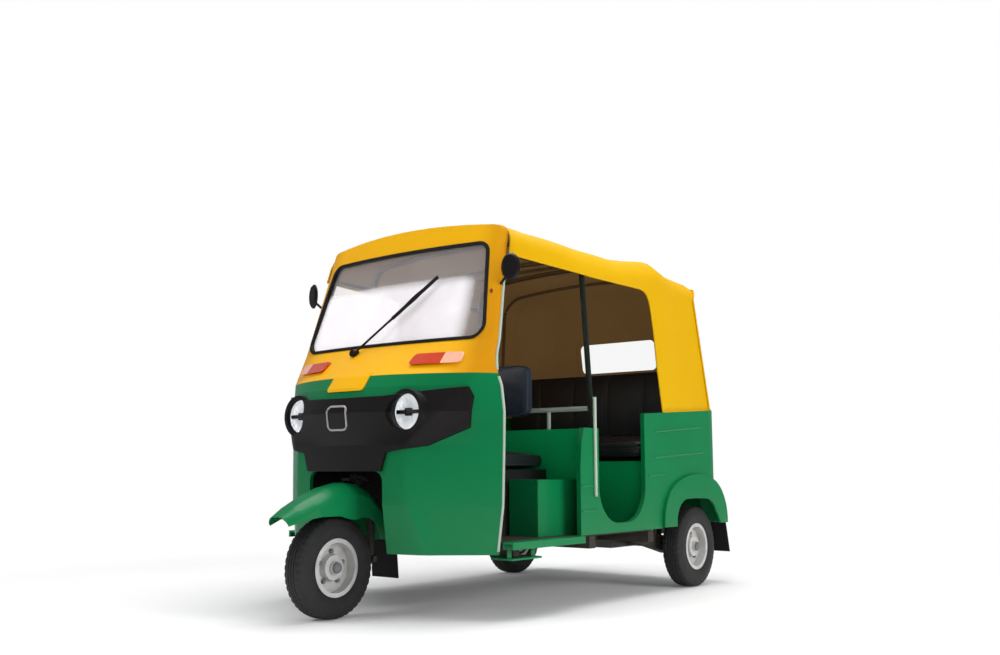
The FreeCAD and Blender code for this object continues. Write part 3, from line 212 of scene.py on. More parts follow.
def enamel(name, light, deep, roughness=0.34, coat=0.12, dust=0.10, fold_mm=3.0):
    """Baked enamel: a soft change of tone, a fine orange peel and dust near the ground."""
    material, tree, place = new_material(name)
    colour, _ = two_tones(tree, place, TONE_MM, 2.0, deep, light)
    apart = add(tree, "ShaderNodeSeparateXYZ", {"Vector": place})
    low = add(tree, "ShaderNodeMapRange", {"Value": apart.outputs["Z"], "From Min": DUST_TOP,
                                           "From Max": DUST_FULL, "To Max": dust})
    patches = add(tree, "ShaderNodeTexNoise", {"Vector": place, "Scale": 1000 / DUST_PATCH_MM,
                                               "Detail": 6.0})
    dust_and_haze_share = add(tree, "ShaderNodeMath", {0: low.outputs[0], 1: patches.outputs["Fac"]},
               operation="MULTIPLY")
    dusty = add(tree, "ShaderNodeMix", {"Factor": dust_and_haze_share.outputs[0], 6: colour, 7: ROAD_DUST},
                data_type="RGBA")
    rough = add(tree, "ShaderNodeMath", {0: dust_and_haze_share.outputs[0], 1: 1.5, 2: roughness},
                operation="MULTIPLY_ADD")
    fold = add(tree, "ShaderNodeBevel", {"Radius": fold_mm / 1000}, samples=4)
    peel = add(tree, "ShaderNodeTexNoise", {"Vector": place, "Scale": 1000 / PEEL_MM, "Detail": 1.0})
    bump = add(tree, "ShaderNodeBump", {"Height": peel.outputs["Fac"], "Strength": 0.05,
                                        "Distance": 0.0015, "Normal": fold.outputs[0]})
    return close(material, add(tree, "ShaderNodeBsdfPrincipled", {
        "Base Color": dusty.outputs[2], "Roughness": rough.outputs[0], "Normal": bump.outputs[0],
        "Coat Weight": coat, "Coat Roughness": 0.08, "Specular IOR Level": 0.16}))


def paint_node(node, material):
    """Give a piece that is already right its finish."""
    mesh = frame["nodes"][node].data
    mesh.materials.clear()
    mesh.materials.append(material)


green_enamel = enamel("green_baked_enamel", GREEN, GREEN_DEEP)
for node in ("front_cowl", "body_side_left", "body_side_right", "rear_panel", "engine_hatch",
             "wheel_arch_left", "wheel_arch_right", "battery_box", "front_mudguard", "side_steps"):
    paint_node(node, green_enamel)


# The partition and the bench's base stand indoors, in the same baked enamel as the body. This copy is
# painted lighter, as painted light in the cabin, and holds less dust.
green_enamel_painted_lighter = enamel("green_enamel_with_painted_light", linear("08a862"), linear("089a58"), dust=0.05)
for node in ("partition", "bench_base"):
    paint_node(node, green_enamel_painted_lighter)


# The windscreen surround is one steel pressing in yellow enamel. Its pillars, which face sideways, are
# painted a deeper orange as painted shade, more of it the further they stand from the middle plane; the
# front stays lemon.
SIDE_SHADE_FROM, SIDE_SHADE_FULL = 0.40, 0.585


def from_middle(tree, place):
    """The distance from the vehicle's middle plane."""
    apart = add(tree, "ShaderNodeSeparateXYZ", {"Vector": place})
    wide = add(tree, "ShaderNodeMath", {0: apart.outputs["X"]}, operation="ABSOLUTE")
    return wide.outputs[0]


def paint_side_shade(material, side_shade):
    """Mixes a deeper colour into an enamel as painted shade, more of it with the distance from the
    middle plane.
    """
    tree = material.node_tree
    paint = next(node for node in tree.nodes if node.type == "BSDF_PRINCIPLED")
    front_colour = paint.inputs["Base Color"].links[0].from_socket
    place = next(node for node in tree.nodes if node.type == "TEX_COORD").outputs["Object"]
    side_share = add(tree, "ShaderNodeMapRange", {
        "Value": from_middle(tree, place), "From Min": SIDE_SHADE_FROM, "From Max": SIDE_SHADE_FULL},
        interpolation_type="SMOOTHSTEP")
    both = add(tree, "ShaderNodeMix", {"Factor": side_share.outputs[0], 6: front_colour, 7: side_shade},
               data_type="RGBA")
    tree.links.new(both.outputs[2], paint.inputs["Base Color"])
    return material


yellow_enamel = enamel("yellow_baked_enamel", linear("f2b602"), linear("eaa902"), dust=0.0)
# painted shade: the surround's sides darken to a deeper orange
paint_node("windscreen_surround", paint_side_shade(yellow_enamel, linear("c88608")))


# The partition's rail is a bare tube in dull zinc paint. The hood's bows and posts are tube in a
# green so dark that it looks black under the canvas.
paint_node("partition_rail", enamel("dull_zinc_paint", linear("a7b2ab"), linear("8d9a92"), 0.45, 0.1))
paint_node("hood_frame", enamel("dark_green_enamel", linear("18221b"), linear("121a15"), 0.4, 0.2))


# The chassis, the floor, the arms and the driver's box are steel in black chassis enamel, with
# road dust on what is near the ground.
chassis_enamel = enamel("black_chassis_enamel", linear("232325"), linear("19191b"), roughness=0.5,
                        coat=0.1, dust=0.5)
for node in ("chassis_frame", "floor_pan", "front_wheel_box", "steering_head",
             "steering_column", "front_suspension", "rear_bumper", "driver_seat_base",
             "trailing_arm_left", "trailing_arm_right"):
    paint_node(node, chassis_enamel)


# The lamp mask, the instrument pod, the mirrors and the handlebar's cover are injection moulded
# in black ABS with a spark-eroded grain, so they shine softly and show brown in strong light.
# The wiper's arm is steel, painted to match them.
BLOOM_MM, GRAIN_DRAWN = 167, 3


def moulding(name, colour, roughness=0.42, grain=0.3, grain_mm=0.9, fold_mm=3.0):
    """Grained black plastic, the grain drawn about three times its real size so that it shows."""
    material, tree, place = new_material(name)
    cells = add(tree, "ShaderNodeTexVoronoi", {"Vector": place,
                                               "Scale": 1000 / (GRAIN_DRAWN * grain_mm)})
    fold = add(tree, "ShaderNodeBevel", {"Radius": fold_mm / 1000}, samples=4)
    bump = add(tree, "ShaderNodeBump", {"Height": cells.outputs["Distance"], "Strength": grain,
                                        "Distance": 0.0003, "Normal": fold.outputs[0]})
    bloom = add(tree, "ShaderNodeTexNoise", {"Vector": place, "Scale": 1000 / BLOOM_MM,
                                             "Detail": 4.0})
    rough = add(tree, "ShaderNodeMapRange", {"Value": bloom.outputs["Fac"],
                                             "To Min": roughness - 0.06, "To Max": roughness + 0.1})
    return close(material, add(tree, "ShaderNodeBsdfPrincipled", {
        "Base Color": colour, "Normal": bump.outputs[0], "Roughness": rough.outputs[0],
        "Specular IOR Level": 0.3}))


black_abs = moulding("black_grained_abs", linear("0e0a09"), roughness=0.44, fold_mm=5.0)
for node in ("headlamp_mask", "instrument_pod", "mirror_left", "mirror_right", "wiper", "handlebar"):
    paint_node(node, black_abs)


# The screen's gasket is extruded rubber and the flaps are cut from black rubber sheet. Both stay
# matt and take a coarser grain than the plastic.
rubber = moulding("black_sheet_rubber", linear("151515"), roughness=0.72, grain=0.2, grain_mm=1.5)
for node in ("windscreen_gasket", "front_flap", "rear_flaps"):
    paint_node(node, rubber)


# The windscreen is a single bent pane of toughened glass. A pale haze with light of its own is painted
# over its lower part, as painted light; the top and the near end stay clear and look grey-brown against
# the lining.
HAZE_TOP, HAZE_FULL = 1.455, 1.385
HAZE_END, HAZE_IN = 0.47, 0.36
DRIFT_MM, HAZE_LEAST = 200, 0.10


def glass_with_painted_haze():
    """Clear glass under a pale haze of painted light, which fades out upwards and towards the near end.
    """
    material, tree, place = new_material("toughened_glass_with_painted_haze")
    apart = add(tree, "ShaderNodeSeparateXYZ", {"Vector": place})
    low = add(tree, "ShaderNodeMapRange", {"Value": apart.outputs["Z"], "From Min": HAZE_TOP,
                                           "From Max": HAZE_FULL}, interpolation_type="SMOOTHSTEP")
    inner = add(tree, "ShaderNodeMapRange", {"Value": apart.outputs["X"], "From Min": HAZE_END,
                                             "From Max": HAZE_IN}, interpolation_type="SMOOTHSTEP")
    drift = add(tree, "ShaderNodeTexNoise", {"Vector": place, "Scale": 1000 / DRIFT_MM,
                                             "Detail": 3.0})
    streak = add(tree, "ShaderNodeMapRange", {"Value": drift.outputs["Fac"], "To Min": 0.50,
                                              "To Max": 0.82})
    share = add(tree, "ShaderNodeMath", {0: low.outputs[0], 1: inner.outputs[0]},
                operation="MULTIPLY")
    dust_and_haze_share = add(tree, "ShaderNodeMath", {0: share.outputs[0], 1: streak.outputs[0]},
               operation="MULTIPLY")
    thin = add(tree, "ShaderNodeMath", {0: dust_and_haze_share.outputs[0], 1: HAZE_LEAST}, operation="MAXIMUM")
    pane = add(tree, "ShaderNodeBsdfPrincipled", {"Base Color": linear("e6e4e0"), "Roughness": 0.0,
                                                  "Transmission Weight": 1.0, "IOR": 1.12})
    # painted light: the pale haze gives off light of its own
    painted_haze = add(tree, "ShaderNodeBsdfPrincipled", {
        "Base Color": linear("f0edf0"), "Roughness": 0.6, "Specular IOR Level": 0.1,
        "Emission Color": linear("ece8ec"), "Emission Strength": 0.30})
    return close(material, add(tree, "ShaderNodeMixShader", {
        0: thin.outputs[0], 1: pane.outputs[0], 2: painted_haze.outputs[0]}))


paint_node("windscreen", glass_with_painted_haze())


# The power unit is sand-cast aluminium and its silencer bare steel. Both are dull, pitted and
# stained by heat.
STAIN_MM = 111


def shaded(colour, share):
    """A colour made darker or lighter by a share of its light."""
    return [share * part for part in colour[:3]] + [1.0]


def cast_metal(name, colour, roughness, pits_mm):
    """Bare metal with pits of a real size and broad darker stains."""
    material, tree, place = new_material(name)
    pits = add(tree, "ShaderNodeTexNoise", {"Vector": place, "Scale": 1000 / pits_mm, "Detail": 5.0})
    bump = add(tree, "ShaderNodeBump", {"Height": pits.outputs["Fac"], "Strength": 0.5,
                                        "Distance": 0.001})
    shade, _ = two_tones(tree, place, STAIN_MM, 3.0, colour, shaded(colour, 0.45))
    return close(material, add(tree, "ShaderNodeBsdfPrincipled", {
        "Base Color": shade, "Metallic": 0.9, "Roughness": roughness, "Normal": bump.outputs[0]}))


paint_node("engine", cast_metal("sand_cast_aluminium", linear("8d8c88"), 0.6, 7))
paint_node("silencer", cast_metal("heat_stained_steel", linear("6e6863"), 0.5, 12))


# The hood is one skin of coated canvas, yellow outside with a brown lining, laced over the bows.
# Its rear curtain is sewn in along a piped seam, and it sags a little between the bows. Places
# along it are measured from the middle of the wheelbase, which stands at MID_BASE.
MID_BASE = -0.0265

# place along, and there the roof's height, half width, shoulder radius and camber
HOOD_STATIONS = np.array([
    (-0.900, 1.682, 0.562, 0.100, 0.026), (-0.480, 1.682, 0.562, 0.100, 0.026),
    (-0.045, 1.672, 0.600, 0.130, 0.026), (0.328, 1.664, 0.600, 0.130, 0.026),
    (0.700, 1.704, 0.600, 0.130, 0.026), (0.860, 1.664, 0.600, 0.130, 0.026),
    (1.120, 1.644, 0.600, 0.130, 0.026), (1.400, 1.540, 0.600, 0.130, 0.026)])
HOOD_BOWS = (-0.500, -0.189, 0.261, 0.701, 1.200)
SAG, SAG_REACH, SIDE_SAG, TAUT_RIM = 0.005, 0.23, 0.6, 0.08

# heights and half widths of the leaning sides, and two points of the body's belt: place and height
CANT, CANT_HALF = 1.505, 0.600
BELT_LEVEL, BELT_HALF, HOOD_LOW = 0.870, 0.632, 0.725
BELT = ((0.457, 0.8703), (1.328, 0.9253))

# the doorways' edge, place and height: on the left it turns down to the belt behind the passengers'
# doorway, on the right it stops just behind the partition and drops to the belt there
LEFT_EDGE = np.array([(-0.640, 1.516), (0.050, 1.493), (0.500, 1.496), (0.540, 1.489),
                      (0.568, 1.474), (0.588, 1.440), (0.600, 1.393), (0.616, 1.275),
                      (0.628, 1.100), (0.656, 0.880)])
RIGHT_EDGE = np.array([(-0.640, 1.516), (0.046, 1.493)])
RIGHT_DROP = 0.002

# the leading edge leans back with the screen, and the tail leans forward above its knee
SCREEN_LEAN, SCREEN_SILL, HOOD_LEAD = 0.247, 0.990, -0.6495
TAIL_FOOT, TAIL_LEAN, TAIL_KNEE, TAIL_HALF, TAIL_RADIUS = 1.323, 0.16, 0.925, 0.602, 0.195
TAIL_CORNER, CORNER_TRIM = 0.3, 0.002
TAIL_START = np.arccos((TAIL_RADIUS - CORNER_TRIM) / TAIL_RADIUS)
WINDOW_HALF, WINDOW_LOW, WINDOW_HIGH = 0.262, 1.160, 1.347
CANVAS_THICK = 0.003

# the shares of a cross section at which the roof ends and the side begins, the grids' columns and
# rows, the places behind which only the curtain and the window lie, and where the ends are sought
ROOF_END, SIDE_START = 0.45, 0.65
COLUMNS, CURTAIN_ROWS, CURTAIN_FOOT = 121, 44, 1.30
CURTAIN_FROM, WINDOW_FROM = 1.08, 1.15
FRONT_GUESS, REAR_GUESS, SETTLE_STEPS = -0.52, 1.10, 25
ROW_PLACES = np.unique(np.concatenate([
    np.linspace(-0.5, 0.44, 60), [0.0455, 0.0485], np.linspace(0.455, 0.665, 52),
    np.linspace(0.68, 1.1, 36)]))

# the cloth's pattern: broad creases, faded patches, and a weave drawn six times as coarse as it is
CREASE_MM, FADED_MM, WEAVE_DRAWN = 312.5, 588, 2 * math.pi


def make_piece(name, points, faces, *materials):
    """An object from an array of points and an array of quads: doubles merged, outside outwards,
    shaded smooth, with its place in its mesh."""
    mesh = bpy.data.meshes.new(name)
    mesh.from_pydata(points.reshape(-1, 3).tolist(), [], faces.tolist())
    shell = bmesh.new()
    shell.from_mesh(mesh)
    bmesh.ops.remove_doubles(shell, verts=shell.verts, dist=2e-5)
    bmesh.ops.dissolve_degenerate(shell, dist=1e-6, edges=shell.edges)
    bmesh.ops.recalc_face_normals(shell, faces=shell.faces)
    shell.to_mesh(mesh)
    shell.free()
    mesh.shade_smooth()
    for material in materials:
        mesh.materials.append(material)
    return place_object(name, mesh)


def grid_faces(rows, columns, start=0, wrap=False):
    """Quads between the points of a grid kept row by row, closed across the rows if wrapped."""
    across = columns if wrap else columns - 1
    row, column = np.meshgrid(np.arange(rows - 1), np.arange(across), indexing="ij")
    near, far = row * columns + column, row * columns + (column + 1) % columns
    return start + np.stack([near, far, far + columns, near + columns], -1).reshape(-1, 4)


def up_the_screen(foot, z):
    """Where a line that leans back with the screen stands at height z, from its place at the
    sill."""
    return foot + SCREEN_LEAN * (z - SCREEN_SILL)


def belt_height(y):
    """Height of the body's belt, a straight line through two points."""
    slope = (BELT[1][1] - BELT[0][1]) / (BELT[1][0] - BELT[0][0])
    return BELT[0][1] + slope * (y - BELT[0][0])


def lower_edge(side, y):
    """Height of the hood's edge at a place: the doorways' top and then the belt."""
    left = np.where(y < LEFT_EDGE[-1, 0], np.interp(y, LEFT_EDGE[:, 0], LEFT_EDGE[:, 1]),
                    belt_height(y))
    lip, end = np.interp(y, RIGHT_EDGE[:, 0], RIGHT_EDGE[:, 1]), RIGHT_EDGE[-1, 0]
    drop = np.clip((y - end) / RIGHT_DROP, 0, 1)
    return np.where(side > 0, left, lip + drop * (belt_height(y) - lip))


def hood_section(across, y):
    """Cross section: |across| up to ROOF_END is the crown, a parabola, up to SIDE_START the
    shoulder, a quarter circle, and up to 1 the leaning side down to the lower edge. Gives x
    and z."""
    crown, half, radius, camber = (np.interp(y, HOOD_STATIONS[:, 0], HOOD_STATIONS[:, k])
                                   for k in (1, 2, 3, 4))
    side, q = np.sign(across), np.abs(across)
    flat_half = half - radius
    roof = np.clip(q / ROOF_END, 0, 1)
    turn = np.clip((q - ROOF_END) / (SIDE_START - ROOF_END), 0, 1) * np.pi / 2
    drop = np.clip((q - SIDE_START) / (1 - SIDE_START), 0, 1)
    edge = crown - camber - radius
    low_half = half + (BELT_HALF - half) / (CANT - BELT_LEVEL) * (CANT - HOOD_LOW)
    z_side = edge + drop * (lower_edge(side, y) - edge)
    x_side = half + (low_half - half) * (edge - z_side) / (edge - HOOD_LOW)
    x = np.where(q <= ROOF_END, roof * flat_half,
                 np.where(q <= SIDE_START, flat_half + radius * np.sin(turn), x_side))
    z = np.where(q <= ROOF_END, crown - camber * roof ** 2,
                 np.where(q <= SIDE_START, edge + radius * np.cos(turn), z_side))
    return side * x, z


def tail_lines(z):
    """The tail at a height: the half width of its sides and how far back its middle stands."""
    half = TAIL_HALF + (BELT_HALF - CANT_HALF) / (CANT - BELT_LEVEL) * (CANT - z)
    return half, TAIL_FOOT - TAIL_LEAN * np.maximum(z - TAIL_KNEE, 0)


def tail_plan(x, z):
    """Where the leaning tail with its round corners stands for a point x, z."""
    half, back = tail_lines(z)
    over = np.clip(np.abs(x) - (half - TAIL_RADIUS), 0, TAIL_RADIUS)
    return back - TAIL_RADIUS + np.sqrt(TAIL_RADIUS ** 2 - over ** 2)


def tail_point(w, z):
    """The tail by its way round in plan, w from 0 on the left side to 1 on the right: a corner's
    arc over the share TAIL_CORNER at each end and a straight line between. Gives x and y."""
    half, back = tail_lines(z)
    from_side = np.clip(np.minimum(w, 1 - w) / TAIL_CORNER, 0, 1)
    angle = TAIL_START + from_side * (np.pi / 2 - TAIL_START)
    straight = np.clip((0.5 - w) / (0.5 - TAIL_CORNER), -1, 1)
    in_corner = np.minimum(w, 1 - w) < TAIL_CORNER
    corner_x = np.sign(0.5 - w) * (half - TAIL_RADIUS + TAIL_RADIUS * np.cos(angle))
    x = np.where(in_corner, corner_x, straight * (half - TAIL_RADIUS))
    y = np.where(in_corner, back - TAIL_RADIUS + TAIL_RADIUS * np.sin(angle), back)
    return x, y


def way_round(x, z):
    """The inverse of tail_point for points on the tail."""
    straight = tail_lines(z)[0] - TAIL_RADIUS
    over = np.clip((np.abs(x) - straight) / TAIL_RADIUS, 0, 1)
    angle = np.clip((np.arccos(over) - TAIL_START) / (np.pi / 2 - TAIL_START), 0, 1)
    w = np.where(over > 0, TAIL_CORNER * angle, 0.5 - (0.5 - TAIL_CORNER) * np.abs(x) / straight)
    return np.where(x > 0, w, 1 - w)


def hood_points():
    """Roof and sides: each column keeps its share of the cross section and runs from the slanted
    front edge to the tail, both found by a step that is repeated till it settles; rows crowd where
    the doorway's edge is steep. Between the bows the roof sinks and the sides draw in by a squared
    sine. Curtain: each column runs from the belt up to the same column's end on the tail."""
    across = np.linspace(1, -1, COLUMNS)[None, :]
    front = np.full_like(across, FRONT_GUESS)
    rear = np.full_like(across, REAR_GUESS)
    for _ in range(SETTLE_STEPS):
        front = 0.5 * front + 0.5 * up_the_screen(HOOD_LEAD, hood_section(across, front)[1])
        x, z = hood_section(across, rear)
        rear = 0.6 * rear + 0.4 * tail_plan(x, z)
    y = np.clip(ROW_PLACES[:, None], front, rear)
    y[0], y[-1] = front[0], rear[0]
    x, z = hood_section(across, y)
    slack = np.min([np.abs(y - bow) for bow in HOOD_BOWS], axis=0)
    sag = SAG * np.sin(np.clip(slack / SAG_REACH, 0, 1) * np.pi / 2) ** 2
    inward = np.clip((np.abs(across) - ROOF_END) / (SIDE_START - ROOF_END), 0, 1)
    rim = np.clip((z - lower_edge(np.sign(across), y)) / TAUT_RIM, 0, 1)
    skin = np.stack([x - np.sign(across) * SIDE_SAG * sag * inward * rim, y,
                     z - sag * (1 - inward)], -1)

    top_w, top_z = way_round(skin[-1, :, 0], skin[-1, :, 2]), skin[-1, :, 2]
    foot_w, foot_z = np.linspace(0, 1, COLUMNS), belt_height(CURTAIN_FOOT)
    rise = np.linspace(0, 1, CURTAIN_ROWS)[:, None] ** 0.9
    height = foot_z + rise * (top_z - foot_z)
    curtain = np.stack([*tail_point(foot_w + rise * (top_w - foot_w), height), height], -1)
    curtain[-1] = skin[-1]
    return skin, curtain


def wave_scale(period_mm):
    """The scale at which a Wave texture, which turns once in pi / 10 units, has this period."""
    return 100 * math.pi / period_mm


def coated_canvas(name, light, deep, roughness, weave_mm=1.6, glow=0.0):
    """Plain weave under a thin vinyl coat, with broad soft creases and a dulled tone in places. The
    lining and its sleeves are given a little painted light of their own, which stands for the daylight
    that the cloth lets through."""
    material, tree, place = new_material(name)
    scale = wave_scale(WEAVE_DRAWN * weave_mm)
    warp, weft = (add(tree, "ShaderNodeTexWave", {"Vector": place, "Scale": scale},
                      bands_direction=way) for way in ("Y", "DIAGONAL"))
    weave = add(tree, "ShaderNodeMath", {0: warp.outputs["Fac"], 1: weft.outputs["Fac"]},
                operation="MULTIPLY")
    crease = add(tree, "ShaderNodeTexNoise", {"Vector": place, "Scale": 1000 / CREASE_MM,
                                              "Detail": 2.0, "Distortion": 0.6})
    colour, _ = two_tones(tree, place, FADED_MM, 3.0, deep, light)
    folds = add(tree, "ShaderNodeBump", {"Height": crease.outputs["Fac"], "Strength": 0.35,
                                         "Distance": 0.02})
    bump = add(tree, "ShaderNodeBump", {"Height": weave.outputs[0], "Strength": 0.25,
                                        "Distance": 0.0004, "Normal": folds.outputs[0]})
    return close(material, add(tree, "ShaderNodeBsdfPrincipled", {
        "Base Color": colour, "Roughness": roughness, "Normal": bump.outputs[0],
        "Specular IOR Level": 0.12, "Emission Color": colour, "Emission Strength": glow}))


yellow_canvas = coated_canvas("yellow_coated_canvas", linear("cea200"), linear("c69600"), 0.5)
# painted light: the lining glows a little, for the daylight through the canvas
brown_lining = coated_canvas("brown_cotton_lining", linear("80633c"), linear("6c5130"), 0.85, glow=0.30)


def build_hood():
    """The skin and its curtain as one open surface with the window cut out, made as thick as the
    canvas on its inside. Gives the object and both grids of points."""
    skin, curtain = hood_points()
    points = np.concatenate([skin.reshape(-1, 3), curtain.reshape(-1, 3)]) + (0, MID_BASE, 0)
    faces = np.concatenate([grid_faces(len(skin), COLUMNS),
                            grid_faces(CURTAIN_ROWS, COLUMNS, len(skin) * COLUMNS)])
    hood = make_piece("hood_skin", points, faces, yellow_canvas, brown_lining)
    shell = bmesh.new()
    shell.from_mesh(hood.data)
    for place, normal in (((WINDOW_HALF, 0, 0), (1, 0, 0)), ((-WINDOW_HALF, 0, 0), (1, 0, 0)),
                          ((0, 0, WINDOW_LOW), (0, 0, 1)), ((0, 0, WINDOW_HIGH), (0, 0, 1))):
        rear = [face for face in shell.faces if face.calc_center_median().y > CURTAIN_FROM]
        bits = set(rear)
        for face in rear:
            bits.update(face.edges)
            bits.update(face.verts)
        bmesh.ops.bisect_plane(shell, geom=list(bits), dist=1e-6, plane_co=place, plane_no=normal)
    gone = []
    for face in shell.faces:
        x, y, z = face.calc_center_median()
        if y > WINDOW_FROM and abs(x) < WINDOW_HALF and WINDOW_LOW < z < WINDOW_HIGH:
            gone.append(face)
    bmesh.ops.delete(shell, geom=gone, context="FACES")
    bmesh.ops.recalc_face_normals(shell, faces=shell.faces)
    roof = max(shell.faces, key=lambda face: face.calc_center_median().z)
    if roof.normal.z < 0:
        bmesh.ops.reverse_faces(shell, faces=shell.faces)
    shell.to_mesh(hood.data)
    shell.free()
    hood.data.shade_smooth()
    thick = hood.modifiers.new("canvas", "SOLIDIFY")
    thick.thickness = CANVAS_THICK
    thick.offset = -1.0
    thick.material_offset = 1
    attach(hood, "vehicle_body")
    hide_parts("canvas_hood")
    return hood, skin, curtain


hood, hood_skin, hood_curtain = build_hood()


# Round cords of the same canvas cover the curtain's seam and bind every free edge of the hood.
# The seam's cord lies proud of the cloth, the others are centred on the edge, and the sides' cords
# begin behind the leading edge's.
PIPING, PIPING_SIDES, ROD_SIDES, LINE_POINTS = 0.0045, 8, 12, 40
SEAM_WIDER, SEAM_PROUD = 1.006, (0, 0.0035, 0.0015)
SIDE_FROM = -0.515


def sweep(points, radius, sides=10, closed=False):
    """A round section carried along a line of points, square to the line, with closed ends."""
    points = np.asarray(points, float)
    ahead = np.roll(points, -1, 0) - np.roll(points, 1, 0)
    if not closed:
        ahead[0], ahead[-1] = points[1] - points[0], points[-1] - points[-2]
    ahead /= np.linalg.norm(ahead, axis=1, keepdims=True)
    steady = np.where(np.abs(ahead[:, 2:]) > 0.9, (1.0, 0.0, 0.0), (0.0, 0.0, 1.0))
    out = np.cross(ahead, steady)
    out /= np.linalg.norm(out, axis=1, keepdims=True)
    up = np.cross(out, ahead)
    angle = np.linspace(0, 2 * np.pi, sides, endpoint=False)[None, :, None]
    radius = np.broadcast_to(np.asarray(radius, float), (len(points),))[:, None, None]
    ring = points[:, None] + radius * (np.cos(angle) * out[:, None] + np.sin(angle) * up[:, None])
    if closed:
        ring = np.concatenate([ring, ring[:1]])
    else:
        ring = np.concatenate([np.repeat(points[:1, None], sides, 1), ring,
                               np.repeat(points[-1:, None], sides, 1)])
    return ring.reshape(-1, 3), grid_faces(len(ring), sides, wrap=True)


def join_forms(forms):
    """Several point and face arrays as one."""
    starts = np.cumsum([0] + [len(points) for points, _ in forms])
    return (np.concatenate([points for points, _ in forms]),
            np.concatenate([quads + start for (_, quads), start in zip(forms, starts)]))


def build_piping():
    """One cord along each line of the hood's grids: the seam, the two sides, the foot and the
    leading edge. Points that fall together are kept once."""
    left, right = hood_skin[:, 0], hood_skin[:, -1]
    seam = hood_skin[-1] * (SEAM_WIDER, 1.0, 1.0) + SEAM_PROUD
    forms = []
    for line in (seam, left[left[:, 1] > SIDE_FROM], right[right[:, 1] > SIDE_FROM],
                 hood_curtain[0], hood_skin[0]):
        step = np.linalg.norm(np.diff(line, axis=0), axis=1)
        line = line[np.concatenate([[True], step > 1e-4])]
        forms.append(sweep(line + (0, MID_BASE, 0), PIPING, PIPING_SIDES))
    piping = make_piece("hood_piping", *join_forms(forms), yellow_canvas)
    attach(piping, "vehicle_body")
    return piping


piping = build_piping()


# The rear window is a sheet of clear vinyl, held by a sewn canvas binding with round corners. Both
# sections give the share of the way outwards and how proud of the curtain the point lies.
BINDING_IN, BINDING_OUT = 0.008, 0.020
INNER_CORNER, OUTER_CORNER, LINED_FACING = 0.032, 0.050, -0.3
BINDING_SECTION = ((0.0, -0.004), (0.0, 0.002), (0.5, 0.0035), (1.0, 0.0005), (1.0, -0.004),
                   (0.0, -0.004))
VINYL_SECTION = ((0.0, -0.0005), (1.0, -0.0005), (1.0, -0.0020), (0.0, -0.0020))


def clear_glass(name, tint, roughness, ior):
    """A clear sheet with little bending of light, so that what is behind it stays in place."""
    material, tree, _ = new_material(name)
    return close(material, add(tree, "ShaderNodeBsdfPrincipled", {
        "Base Color": tint, "Roughness": roughness, "Transmission Weight": 1.0, "IOR": ior}))


def rounded_loop(half_width, low, high, radius, count=12):
    """Points round a rectangle with round corners, as x and z."""
    angle = np.linspace(0, np.pi / 2, count)
    corners = []
    for k, (side, z) in enumerate(((1, high), (-1, high), (-1, low), (1, low))):
        turn = angle + k * np.pi / 2
        centre_z = z - radius if z == high else z + radius
        corners.append(np.stack([side * (half_width - radius) + radius * np.cos(turn),
                                 centre_z + radius * np.sin(turn)], -1))
    return np.concatenate(corners)


def laid_on_curtain(inner, outer, section):
    """Loops between an inner and an outer one, each laid on the leaning curtain at its height."""
    rings = []
    for share, proud in section:
        loop = inner + share * (outer - inner)
        rings.append(np.stack([loop[:, 0], tail_lines(loop[:, 1])[1] + proud + MID_BASE,
                               loop[:, 1]], -1))
    return np.array(rings), grid_faces(len(section), len(inner), wrap=True)


def build_rear_window():
    """The binding, a section carried round the window, lined on its inner face, and the pane,
    which grows from the middle out to half way under the binding."""
    inner = rounded_loop(WINDOW_HALF - BINDING_IN, WINDOW_LOW + BINDING_IN,
                         WINDOW_HIGH - BINDING_IN, INNER_CORNER)
    outer = rounded_loop(WINDOW_HALF + BINDING_OUT, WINDOW_LOW - BINDING_OUT,
                         WINDOW_HIGH + BINDING_OUT, OUTER_CORNER)
    binding = make_piece("window_binding", *laid_on_curtain(inner, outer, BINDING_SECTION),
                         yellow_canvas, brown_lining)
    for face in binding.data.polygons:
        face.material_index = int(face.normal.y < LINED_FACING)
    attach(binding, "vehicle_body")
    middle = np.broadcast_to((0, (WINDOW_LOW + WINDOW_HIGH) / 2), inner.shape)
    pane = make_piece("window_sheet", *laid_on_curtain(middle, (inner + outer) / 2, VINYL_SECTION),
                      clear_glass("clear_vinyl_sheet", linear("f6f7f6"), 0.04, 1.05))
    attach(pane, "vehicle_body")
    return binding, pane


binding, window_sheet = build_rear_window()


# The benches and backrests are foam slabs under black vinyl. The cover is sewn in panels with
# channels between them, piped round both edges and pulled tight, so the slab bulges between the
# seams and its sides draw in between the corners. A row gives a pad's node, where its face
# looks, its panels and its cover.
PADS = (("driver_cushion", "top", 3, "vinyl_black"), ("driver_backrest", "front", 3, "vinyl_blue"),
        ("passenger_cushion", "top", 5, "vinyl_black"),
        ("passenger_backrest", "front", 5, "vinyl_black"))
PAD_ALONG, PAD_ROUND, LONG_POWER, ROUND_POWER = 220, 132, 9, 5
PAD_BULGE, FACE_RISE, QUILT, RIPPLE = 0.16, 1.8, 0.05, 0.0008
CHANNEL_DEEP, CHANNEL_WIDE, CHANNEL_END = 0.006, 0.009, 1.15
ENDS_IN, FACES_IN, SIDES_IN, SIDES_HELD = 0.012, 0.008, 0.045, 0.6
SEAM_LEVEL, PAD_PIPE, PIPE_POINTS = 0.70, 0.0042, 400
CURVE_STEPS, SEAM_STEPS = 6001, 1200
VINYL_GRAIN_MM, WORN_MM, VINYL_CREASE_MM = 2.38, 111, 62.5


